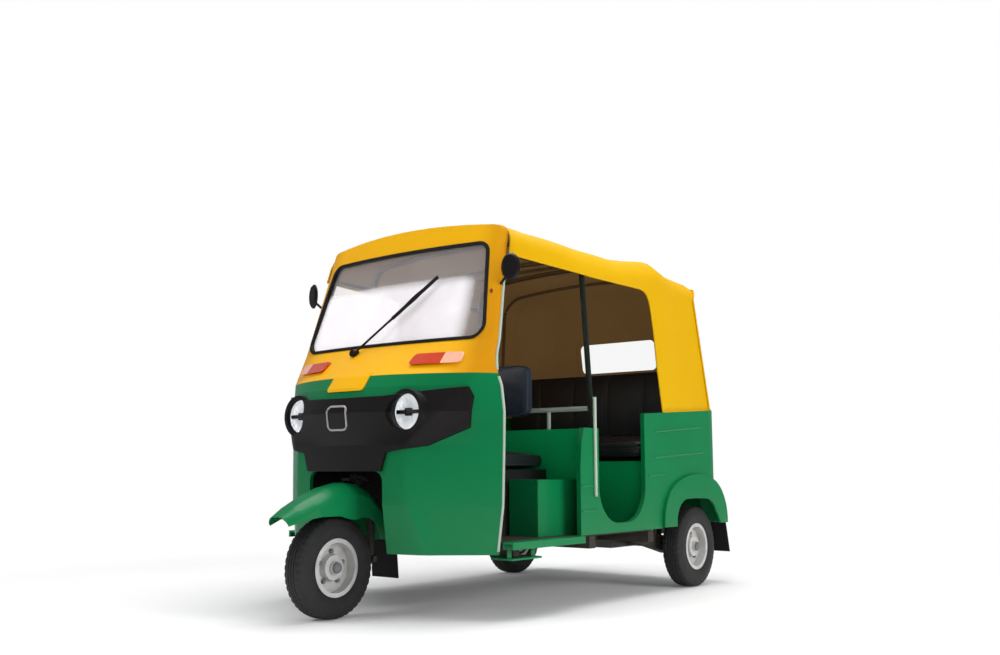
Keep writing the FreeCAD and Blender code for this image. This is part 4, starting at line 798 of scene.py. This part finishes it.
def even_curve(power, wide, deep, turns, count):
    """The superellipse a = |cos t|^(2/power), b = |sin t|^(2/power) with its signs, over a share
    of a turn, its points evenly spaced along the real length."""
    t = np.linspace(0, 2 * np.pi * turns, CURVE_STEPS)
    a = np.sign(np.cos(t)) * np.abs(np.cos(t)) ** (2 / power)
    b = np.sign(np.sin(t)) * np.abs(np.sin(t)) ** (2 / power)
    length = np.concatenate([[0], np.cumsum(np.hypot(wide * np.diff(a), deep * np.diff(b)))])
    at = np.linspace(0, length[-1], count)
    return np.interp(at, length, a), np.interp(at, length, b)


def pad_surface(s, u, v, half, panels):
    """A slab's unit form with s along it, u over its depth and v through it, to real sizes: the
    face bulges by (1-s^4)(1-u^2) and a little more in each panel, sinks in a bell at each panel
    joint and ripples slightly, and the ends and sides draw in between the corners."""
    joint = (s + 1) / 2 * panels
    off = np.abs(joint - np.round(joint)) * 2 * half[0] / panels
    inner = (np.abs(s) < 1 - 0.5 / panels) * np.clip(CHANNEL_END - np.abs(u), 0, 1) ** 0.3
    channel = CHANNEL_DEEP * np.exp(-(off / CHANNEL_WIDE) ** 2) * inner
    face = np.clip(v, 0, 1) ** 2
    quilt = QUILT * np.abs(np.sin(joint * np.pi)) ** 0.5
    crown = (PAD_BULGE * (1 - s ** 4) + quilt) * (1 - u ** 2)
    ripple = RIPPLE * np.sin(11 * s + 3 * u) * np.sin(7 * u - 2 * s)
    along = half[0] * s * (1 - ENDS_IN * (1 - u ** 2) - FACES_IN * np.abs(v))
    depth = half[1] * u * (1 - SIDES_IN * (1 - s ** 4) * (1 - SIDES_HELD * np.abs(v)))
    thick = half[2] * (v * (1 - PAD_BULGE) - 0.5 * PAD_BULGE * np.sign(v) + FACE_RISE * face * crown)
    return along, depth, thick + (ripple - channel) * face


def vinyl(name, colour, roughness):
    """Embossed vinyl: fine leather grain, a soft shine and dulled, lighter creases."""
    material, tree, place = new_material(name)
    grain = add(tree, "ShaderNodeTexVoronoi", {"Vector": place, "Scale": 1000 / VINYL_GRAIN_MM})
    shade, worn = two_tones(tree, place, WORN_MM, 3.0, colour, shaded(colour, 1.7))
    rough = add(tree, "ShaderNodeMapRange", {"Value": worn, "To Min": roughness - 0.08,
                                             "To Max": roughness + 0.12})
    creases = add(tree, "ShaderNodeTexNoise", {"Vector": place, "Scale": 1000 / VINYL_CREASE_MM,
                                               "Detail": 2.0, "Distortion": 1.2})
    folds = add(tree, "ShaderNodeBump", {"Height": creases.outputs["Fac"], "Strength": 0.3,
                                         "Distance": 0.006})
    bump = add(tree, "ShaderNodeBump", {"Height": grain.outputs["Distance"], "Strength": 0.25,
                                        "Distance": 0.0004, "Normal": folds.outputs[0]})
    return close(material, add(tree, "ShaderNodeBsdfPrincipled", {
        "Base Color": shade, "Roughness": rough.outputs[0], "Normal": bump.outputs[0]}))


vinyls = {"vinyl_black": vinyl("black_embossed_vinyl", linear("17181b"), 0.42),
          "vinyl_blue": vinyl("blue_black_embossed_vinyl", linear("1e2530"), 0.40)}


def middle_and_half(node):
    """The middle of a node's box and half its size."""
    low, high = (np.array(corner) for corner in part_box(node))
    return (low + high) / 2, (high - low) / 2


def build_pad(node, faces_to, panels, cover):
    """A slab, whose unit form is a superellipse round as well as along, turned so that its face
    looks up or forwards, and the piping on its two seams."""
    middle, half = middle_and_half(node)
    order, flip = ([0, 1, 2], 1.0) if faces_to == "top" else ([0, 2, 1], -1.0)
    half = half[order]

    def placed(along, depth, thick):
        return middle + np.stack([along, depth, flip * thick], -1)[..., order]

    s, share = (part[:, None] for part in even_curve(LONG_POWER, half[0], half[1], 0.5, PAD_ALONG))
    u, v = even_curve(ROUND_POWER, half[1], half[2], 1.0, PAD_ROUND)
    points = placed(*pad_surface(s, share * u, share * v, half, panels))
    pad = make_piece(node + "_pad", points, grid_faces(PAD_ALONG, PAD_ROUND), vinyls[cover])
    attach(pad, "vehicle_body")
    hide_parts(node)

    # the piping follows the line where the slab's unit form stands at the seam's level
    fine, share = even_curve(LONG_POWER, half[0], half[1], 0.5, SEAM_STEPS)
    fine, share = fine[share > SEAM_LEVEL], share[share > SEAM_LEVEL]
    reach = (1 - (SEAM_LEVEL / share) ** ROUND_POWER) ** (1 / ROUND_POWER) * share
    ring_s, ring_u = np.concatenate([fine, fine[::-1]]), np.concatenate([reach, -reach[::-1]])
    forms = []
    for level in (SEAM_LEVEL, -SEAM_LEVEL):
        line = placed(*pad_surface(ring_s, ring_u, np.full_like(ring_s, level), half, panels))
        step = np.concatenate([[0], np.cumsum(np.linalg.norm(np.diff(line, axis=0), axis=1))])
        at = np.linspace(0, step[-1], PIPE_POINTS)[:-1]
        line = np.stack([np.interp(at, step, part) for part in line.T], -1)
        forms.append(sweep(line, PAD_PIPE, PIPING_SIDES, closed=True))
    piping = make_piece(node + "_piping", *join_forms(forms), vinyls[cover])
    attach(piping, "vehicle_body")


for pad_row in PADS:
    build_pad(*pad_row)


# The tyres are 4.00-8 cross-plies: three grooves round a nearly flat tread, short bars cut into
# the shoulders, and plain side walls with two moulded rings. The side's points are distance from
# the wheel's plane and radius, from the bead out to the shoulder.
TYRE_AROUND, TREAD_BARS, TREAD_POINTS = 352, 44, 81
TYRE_SIDE = np.array([(0.0400, 0.1085), (0.0425, 0.1130), (0.0434, 0.1200), (0.0470, 0.1262),
                      (0.0496, 0.1300), (0.0500, 0.1320), (0.0520, 0.1420), (0.0532, 0.1500),
                      (0.0535, 0.1560), (0.0532, 0.1680), (0.0526, 0.1700), (0.0520, 0.1712),
                      (0.0512, 0.1780), (0.0492, 0.1870), (0.0462, 0.1950), (0.0420, 0.2002)])
TREAD_HALF, TREAD_RADIUS, TREAD_DROP = 0.0405, 0.205, 0.0035
GROOVES, GROOVE_WIDE, GROOVE_DEEP = (-0.0150, 0.0, 0.0150), 0.0026, 0.0055
BAR_DEEP, BAR_FROM, BAR_FADE, BAR_LOW, BAR_LOW_FADE = 0.0028, 0.0240, 0.003, 0.186, 0.008
BAR_SKEW, BAR_EDGE, BAR_SLOPE = 0.8, 0.35, 0.3
GRIME_MM, TYRE_GRAIN_MM = 33.3, 1.667


def tyre_rubber():
    """Tread rubber: matt grey-black, paler where grime and road dust cling."""
    material, tree, place = new_material("road_worn_tyre_rubber")
    shade, _ = two_tones(tree, place, GRIME_MM, 5.0, linear("19191a"), linear("2b2a29"))
    fine = add(tree, "ShaderNodeTexNoise", {"Vector": place, "Scale": 1000 / TYRE_GRAIN_MM,
                                            "Detail": 2.0})
    bump = add(tree, "ShaderNodeBump", {"Height": fine.outputs["Fac"], "Strength": 0.2,
                                        "Distance": 0.0004})
    return close(material, add(tree, "ShaderNodeBsdfPrincipled", {
        "Base Color": shade, "Roughness": 0.68, "Normal": bump.outputs[0]}))


tread_rubber = tyre_rubber()


def build_tyre(node):
    """Revolves the section (x, r) about the axle; r falls by the grooves' bells in x and, on the
    shoulders, by a bar pattern in the angle."""
    middle, _ = middle_and_half(node)
    tread = np.linspace(TREAD_HALF, -TREAD_HALF, TREAD_POINTS)
    crown = TREAD_RADIUS - TREAD_DROP * (tread / TREAD_HALF) ** 4
    x = np.concatenate([TYRE_SIDE[:, 0], tread, -TYRE_SIDE[::-1, 0]])
    r = np.concatenate([TYRE_SIDE[:, 1], crown, TYRE_SIDE[::-1, 1]])
    angle = np.linspace(0, 2 * np.pi, TYRE_AROUND, endpoint=False)[:, None]
    wave = np.cos(TREAD_BARS * angle + np.sign(x) * BAR_SKEW)
    shoulder = (np.clip((np.abs(x) - BAR_FROM) / BAR_FADE, 0, 1)
                * np.clip((r - BAR_LOW) / BAR_LOW_FADE, 0, 1))
    r = r - BAR_DEEP * shoulder * np.clip((wave - BAR_EDGE) / BAR_SLOPE, 0, 1)
    for groove in GROOVES:
        r = r - GROOVE_DEEP * np.exp(-((x - groove) / GROOVE_WIDE) ** 4)
    points = np.stack([x + 0 * angle, r * np.cos(angle), r * np.sin(angle)], -1)
    points = np.concatenate([points, points[:1]]) + middle
    points = np.concatenate([points, points[:, :1]], 1)
    tyre = make_piece(node + "_road", points, grid_faces(*points.shape[:2]), tread_rubber)
    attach(tyre, frame["nodes"][node]["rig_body"])
    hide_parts(node)


for wheel in ("front", "rear_left", "rear_right"):
    build_tyre(wheel + "_tyre")


# The rims are pressed steel in silver paint, held by five hexagon nuts round a pressed dust cap.
# Both profiles give the distance out from the rim's middle plane and the radius.
CAP_PROFILE = ((0.044, 0.0), (0.056, 0.0001), (0.056, 0.012), (0.052, 0.021), (0.044, 0.0235),
               (0.043, 0.0))
NUT_PROFILE = ((0.0035, 0.0), (0.004, 0.0095), (0.015, 0.0095), (0.017, 0.0075), (0.017, 0.0))
NUTS, NUT_CIRCLE, FIRST_NUT = 5, 0.066, 0.3
DIRT_MM = 41.7


def turned_form(profile, sides, centre, axis=0, out=1.0):
    """A profile of (distance along, radius) turned about a line along x, or along y if axis is 1,
    through the centre."""
    profile = np.array(profile)
    angle = np.linspace(0, 2 * np.pi, sides, endpoint=False)[None, :]
    along, r = profile[:, :1], profile[:, 1:]
    points = np.stack([out * along + 0 * angle, r * np.cos(angle), r * np.sin(angle)], -1)
    order = [0, 1, 2] if axis == 0 else [1, 0, 2]
    return (points[..., order] + centre).reshape(-1, 3), grid_faces(len(profile), sides, wrap=True)


def silver_paint(name, colour, roughness):
    """Aluminium-pigmented paint or plating: pale, slightly metallic, with patches of dirt."""
    material, tree, place = new_material(name)
    shade, _ = two_tones(tree, place, DIRT_MM, 5.0, colour, shaded(colour, 0.6))
    fold = add(tree, "ShaderNodeBevel", {"Radius": 0.002}, samples=4)
    return close(material, add(tree, "ShaderNodeBsdfPrincipled", {
        "Base Color": shade, "Metallic": 0.1, "Roughness": roughness, "Normal": fold.outputs[0]}))


silver = silver_paint("silver_wheel_paint", linear("cfcecb"), 0.42)
zinc = silver_paint("zinc_plated_nut", linear("77777a"), 0.35)
for wheel, out in (("front", 1.0), ("rear_left", 1.0), ("rear_right", -1.0)):
    paint_node(wheel + "_rim", silver)
    hub, _ = middle_and_half(wheel + "_rim")
    forms = [turned_form(CAP_PROFILE, sides=40, centre=hub, out=out)]
    for turn in range(NUTS):
        angle = 2 * np.pi * turn / NUTS + FIRST_NUT
        spot = hub + (0, NUT_CIRCLE * math.cos(angle), NUT_CIRCLE * math.sin(angle))
        forms.append(turned_form(NUT_PROFILE, sides=6, centre=spot, out=out))
    nuts = make_piece(wheel + "_nuts", *join_forms(forms), zinc)
    nuts.data.shade_flat()
    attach(nuts, frame["nodes"][wheel + "_rim"]["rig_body"])


# Each headlamp is a bright moulded reflector, crossed by a dark bar with a bulb shade and closed
# by a clear domed lens in a thin bezel. Depths are measured back from the lens's middle.
LAMP_CENTRES = ((-0.323, 0.833), (0.323, 0.833))
LAMP_FACE, LAMP_RADIUS = -0.9235, 0.0735
LAMP_SIDES, BOWL_RINGS, LENS_RINGS = 72, 26, 22
BOWL_BACK, BOWL_SHOULDER, BOWL_LIP, BOWL_FLOOR = 0.066, 0.040, 0.013, 0.020
BOWL_WALL, BOWL_EDGE, BOWL_DEEP, BOWL_FOCUS = 0.001, 0.004, 0.040, 0.07
LENS_DOME, LENS_THICK, LENS_PLAY = 0.260, 0.0025, 0.0005
BEZEL_OUT, BEZEL_IN, BEZEL_BACK, BEZEL_UNDER = 0.0738, 0.0728, 0.012, 0.004
MASK_RING, FLUTE_MM, BACK_FACING = 0.080, 12.083, 0.05

# half width, foot and top from the lamp's middle, and the depths of front and back
LAMP_BARS = ((0.066, -0.009, 0.007, 0.012, 0.020), (0.017, -0.017, 0.015, 0.010, 0.022))
BAR_CORNER, BAR_DROP = 0.006, 0.001

# the planes ahead of the vehicle and beside it that points are laid on it from, and how far
# short of it they stop
AHEAD, BESIDE, PROUD = -1.4, 0.9, 0.001


def bright_reflector():
    """Vacuum-metallised plastic with upright flutes. Some light of its own stands for what a real
    bowl gathers from the room."""
    material, tree, place = new_material("metallised_reflector")
    flutes = add(tree, "ShaderNodeTexWave", {"Vector": place, "Scale": wave_scale(FLUTE_MM)},
                 bands_direction="X")
    bump = add(tree, "ShaderNodeBump", {"Height": flutes.outputs["Fac"], "Strength": 0.6,
                                        "Distance": 0.002})
    return close(material, add(tree, "ShaderNodeBsdfPrincipled", {
        "Base Color": linear("f4f5f6"), "Metallic": 0.5, "Roughness": 0.22,
        "Normal": bump.outputs[0], "Emission Color": linear("f2f6fa"), "Emission Strength": 0.28}))


reflector_metal = bright_reflector()
lens_glass = clear_glass("clear_lamp_lens", linear("fafbfc"), 0.0, 1.12)


def on_face(node, points, towards, proud):
    """Points laid on a CAD piece: each one moves along a direction till it meets the piece, and
    stops a little short of it."""
    tree = BVHTree.FromObject(frame["nodes"][node], bpy.context.evaluated_depsgraph_get())
    direction = Vector(towards)
    laid = []
    for point in points:
        hit = tree.ray_cast(Vector(point), direction)[0]
        if hit is not None:
            laid.append(hit - proud * direction)
    return np.array([tuple(point) for point in laid])


def lamp_bowl(x, z):
    """The reflector: a parabola of revolution inside, closed by its back outside."""
    wall, edge = LAMP_RADIUS - BOWL_WALL, LAMP_RADIUS - BOWL_EDGE
    r = np.linspace(edge, 0.0, BOWL_RINGS)
    inside = np.stack([BOWL_FLOOR + BOWL_DEEP * (1 - (r / BOWL_FOCUS) ** 2), r], -1)
    outside = [(BOWL_BACK, 0.0), (BOWL_SHOULDER, wall), (BOWL_LIP, wall), (BOWL_LIP, edge)]
    return turned_form(np.concatenate([outside, inside]), LAMP_SIDES, (x, LAMP_FACE, z), axis=1)


def lamp_bar(x, z, half_wide, low, high, front, back):
    """A flat bar with round corners across the lamp, closed at its front and its back."""
    loop = rounded_loop(half_wide, z + low, z + high, BAR_CORNER, count=5)
    middle = np.array([0.0, z - BAR_DROP])
    rings = []
    for depth, grow in ((back, 0.0), (back, 1.0), (front, 1.0), (front, 0.0)):
        flat = middle + grow * (loop - middle)
        rings.append(np.stack([x + flat[:, 0], np.full(len(flat), LAMP_FACE + depth), flat[:, 1]], -1))
    return np.array(rings).reshape(-1, 3), grid_faces(len(rings), len(loop), wrap=True)


def lamp_bezel(x, z):
    """A thin tube round the lens that reaches forward to just under the mask's face."""
    turn = np.linspace(0, 2 * np.pi, LAMP_SIDES, endpoint=False)
    round_lamp = [(x + MASK_RING * math.cos(t), AHEAD, z + MASK_RING * math.sin(t)) for t in turn]
    front = on_face("headlamp_mask", round_lamp, (0, 1, 0), 0.0)[:, 1] + BEZEL_UNDER
    back = np.full_like(front, LAMP_FACE + BEZEL_BACK)
    rings = [np.stack([x + radius * np.cos(turn), y, z + radius * np.sin(turn)], -1)
             for radius, y in ((BEZEL_OUT, front), (BEZEL_IN, front), (BEZEL_IN, back),
                               (BEZEL_OUT, back), (BEZEL_OUT, front))]
    return np.array(rings).reshape(-1, 3), grid_faces(len(rings), LAMP_SIDES, wrap=True)


def lamp_lens(x, z):
    """The lens: a spherical cap of an even thickness."""
    r = np.linspace(0, LAMP_RADIUS - LENS_PLAY, LENS_RINGS)
    depth = LENS_DOME - np.sqrt(LENS_DOME ** 2 - r ** 2)
    outer, inner = np.stack([depth, r], -1), np.stack([depth + LENS_THICK, r], -1)[::-1]
    return turned_form(np.concatenate([outer, inner]), LAMP_SIDES, (x, LAMP_FACE, z), axis=1)


def build_headlamps():
    """The same three pieces for both lamps. The bowls' backs are bare black plastic."""
    bars = []
    for x, z in LAMP_CENTRES:
        bars += [lamp_bar(x, z, *sizes) for sizes in LAMP_BARS] + [lamp_bezel(x, z)]
    for name, forms, material in (
            ("lamp_reflectors", [lamp_bowl(x, z) for x, z in LAMP_CENTRES], reflector_metal),
            ("lamp_bars", bars, black_abs),
            ("lamp_lenses", [lamp_lens(x, z) for x, z in LAMP_CENTRES], lens_glass)):
        piece = make_piece(name, *join_forms(forms), material)
        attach(piece, "vehicle_body")
        if name == "lamp_reflectors":
            piece.data.materials.append(black_abs)
            for face in piece.data.polygons:
                face.material_index = int(face.normal.y > BACK_FACING)
            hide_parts("headlamps")


build_headlamps()


# The bare badge in the middle of the mask is a moulded rounded square. Its raised rim is painted
# pale and follows the mask's bulge.
BADGE_MIDDLE, BADGE_HALF, BADGE_RISE, BADGE_CORNER, BADGE_RIM = 0.812, 0.056, 0.049, 0.022, 0.0045


def build_badge():
    """A round rim carried along a rounded rectangle that is laid on the mask."""
    loop = rounded_loop(BADGE_HALF, BADGE_MIDDLE - BADGE_RISE, BADGE_MIDDLE + BADGE_RISE,
                        BADGE_CORNER, count=9)
    line = on_face("headlamp_mask", [(x, AHEAD, z) for x, z in loop], (0, 1, 0), PROUD)
    badge = make_piece("badge_rim", *sweep(line, BADGE_RIM, closed=True),
                       silver_paint("pale_badge_paint", linear("b9b4b2"), 0.4))
    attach(badge, "vehicle_body")


build_badge()


# Pale rubber strip is pushed over the raw steel edges ahead of both of the driver's doorways, in
# one length up the cowl and another up the windscreen surround.
STRIP, STRIP_BACK = 0.0065, 0.006
DOOR_EDGE = -0.683
COWL_EDGE, PILLAR_EDGE = (0.275, 0.975), (1.005, 1.50)
pale_strip = moulding("pale_edge_strip", linear("a9b7a6"), roughness=0.55, grain=0.1)


def build_strips():
    """Four strips: each is a line laid on the steel from the side, a little behind its edge."""
    forms = []
    cowl, pillar = (np.linspace(*edge, LINE_POINTS) for edge in (COWL_EDGE, PILLAR_EDGE))
    for side in (1.0, -1.0):
        for node, height, place in (
                ("front_cowl", cowl, np.full_like(cowl, DOOR_EDGE)),
                ("windscreen_surround", pillar, up_the_screen(DOOR_EDGE, pillar))):
            starts = [(side * BESIDE, y, z) for y, z in zip(place, height)]
            line = on_face(node, starts, (-side, 0, 0), PROUD)
            forms.append(sweep(line + (0, STRIP_BACK, 0), STRIP))
    strips = make_piece("edge_strips", *join_forms(forms), pale_strip)
    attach(strips, "vehicle_body")


build_strips()


# The turn lamps have an amber lens whose outer third is clear for the side lamp, and the tail
# lamps a red one with amber at its outer end. Both are ribbed acrylic, glossy outside.
AMBER_END, RED_END, RIB_MM = 0.405, 0.60, 14.28


def ribbed_lens(name, inner, outer, split):
    """Ribbed acrylic in one colour up to a distance from the middle plane and in another beyond
    it."""
    material, tree, place = new_material(name)
    part = add(tree, "ShaderNodeMath", {0: from_middle(tree, place), 1: split},
               operation="GREATER_THAN")
    shade = add(tree, "ShaderNodeMix", {"Factor": part.outputs[0], 6: inner, 7: outer},
                data_type="RGBA")
    ribs = add(tree, "ShaderNodeTexWave", {"Vector": place, "Scale": wave_scale(RIB_MM)},
               bands_direction="X")
    bump = add(tree, "ShaderNodeBump", {"Height": ribs.outputs["Fac"], "Strength": 0.5,
                                        "Distance": 0.0015})
    return close(material, add(tree, "ShaderNodeBsdfPrincipled", {
        "Base Color": shade.outputs[2], "Roughness": 0.12, "Normal": bump.outputs[0],
        "Subsurface Weight": 0.3, "Subsurface Scale": 0.01, "Coat Weight": 0.6}))


paint_node("front_indicators", ribbed_lens("amber_and_clear_lens", linear("c9380c"),
                                           linear("f2b59a"), AMBER_END))
paint_node("tail_lamps", ribbed_lens("red_and_amber_lens", linear("7a0a07"), linear("b02e08"), RED_END))


# The lining is sewn into sleeves that the hood's bows run through, so each bow shows inside as a soft
# brown rib from the left cant over the roof and down the closed side. The sleeves hang under the roof
# and stand in from the sides. Their cloth is the lining's, painted darker as painted shade along the
# bows, with less painted light of its own.
SLEEVES, SLEEVE_RADIUS = (-0.200, 0.250, 0.480, 0.690, 0.930), 0.0090
SLEEVE_INSET, SLEEVE_DROP = 0.020, 0.020
SLEEVE_LEFT, SLEEVE_RIGHT, LEFT_POINTS, RIGHT_POINTS = 0.66, -0.97, 40, 60
DROP_TO, DROP_FADE, INSET_FROM, INSET_FADE = 0.57, 0.08, 0.44, 0.05
# painted shade: the sleeves are a darker copy of the lining
sleeve_cloth_painted_shade = coated_canvas("brown_sleeve_lining_painted_shade", linear("5a442a"), linear("4a3722"), 0.85,
                             glow=0.18)


def build_sleeves():
    """A round section along each of five cross sections of the hood, moved inwards."""
    share = np.concatenate([np.linspace(SLEEVE_LEFT, 0.0, LEFT_POINTS),
                            np.linspace(0, SLEEVE_RIGHT, RIGHT_POINTS)[1:]])
    roof = np.clip(1 - (np.abs(share) - DROP_TO) / DROP_FADE, 0, 1)
    side = np.clip((np.abs(share) - INSET_FROM) / INSET_FADE, 0, 1)
    forms = []
    for y in SLEEVES:
        x, z = hood_section(share, np.full_like(share, y))
        line = np.stack([x - np.sign(x) * SLEEVE_INSET * side, np.full_like(x, y + MID_BASE),
                         z - SLEEVE_DROP * roof], -1)
        forms.append(sweep(line, SLEEVE_RADIUS, ROD_SIDES))
    sleeves = make_piece("bow_sleeves", *join_forms(forms), sleeve_cloth_painted_shade)
    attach(sleeves, "vehicle_body")


build_sleeves()


# The wiper's rubber blade sits in a sprung steel carrier that is thickest at its middle, where
# the arm holds it.
BLADE_FOOT, BLADE_TIP = np.array([0.040, -0.7365, 1.2440]), np.array([0.2560, -0.6590, 1.4330])
BLADE_RADIUS, CARRIER_EXTRA, CARRIER_AT, CARRIER_WIDE = 0.0048, 0.0052, 0.52, 0.22


def build_blade():
    """A straight round rod whose radius grows in a bell about its middle."""
    share = np.linspace(0, 1, LINE_POINTS)[:, None]
    line = BLADE_FOOT + share * (BLADE_TIP - BLADE_FOOT)
    radius = BLADE_RADIUS + CARRIER_EXTRA * np.exp(-((share[:, 0] - CARRIER_AT) / CARRIER_WIDE) ** 2)
    blade = make_piece("wiper_blade", *sweep(line, radius, ROD_SIDES), rubber)
    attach(blade, "vehicle_body")


build_blade()


# A pale tube stands at the passengers' doorway, and a strip of the same colour edges the panel
# below it. A brown plastic plug closes the hood's press-stud hole in the left screen pillar.
POST_SIDE, POST_PLACE, POST_FOOT, POST_TOP, POST_RADIUS = 0.6440, -0.0200, 0.480, 0.925, 0.0080
PLUG_HEIGHT, PLUG_PLACE, PLUG_PROUD = 1.345, -0.715, 0.0005
PLUG_PROFILE = ((0.0, 0.0), (0.005, 0.0001), (0.0045, 0.007), (0.001, 0.010), (-0.001, 0.010),
                (-0.001, 0.0))


def build_post_strip():
    """A round rod up the panel's front edge."""
    line = np.linspace((POST_SIDE, POST_PLACE, POST_FOOT), (POST_SIDE, POST_PLACE, POST_TOP),
                       num=30)
    strip = make_piece("post_strip", *sweep(line, POST_RADIUS, ROD_SIDES), pale_strip)
    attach(strip, "vehicle_body")


def build_plug():
    """A low domed button turned about a line along x and laid on the pillar's outer face."""
    start = (BESIDE, up_the_screen(PLUG_PLACE, PLUG_HEIGHT), PLUG_HEIGHT)
    spot = on_face("windscreen_surround", [start], (-1, 0, 0), PLUG_PROUD)[0]
    plug = make_piece("pillar_plug", *turned_form(PLUG_PROFILE, sides=28, centre=spot),
                      moulding("brown_plastic_plug", linear("7c2f16"), 0.4, 0.1))
    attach(plug, "vehicle_body")


build_post_strip()
build_plug()
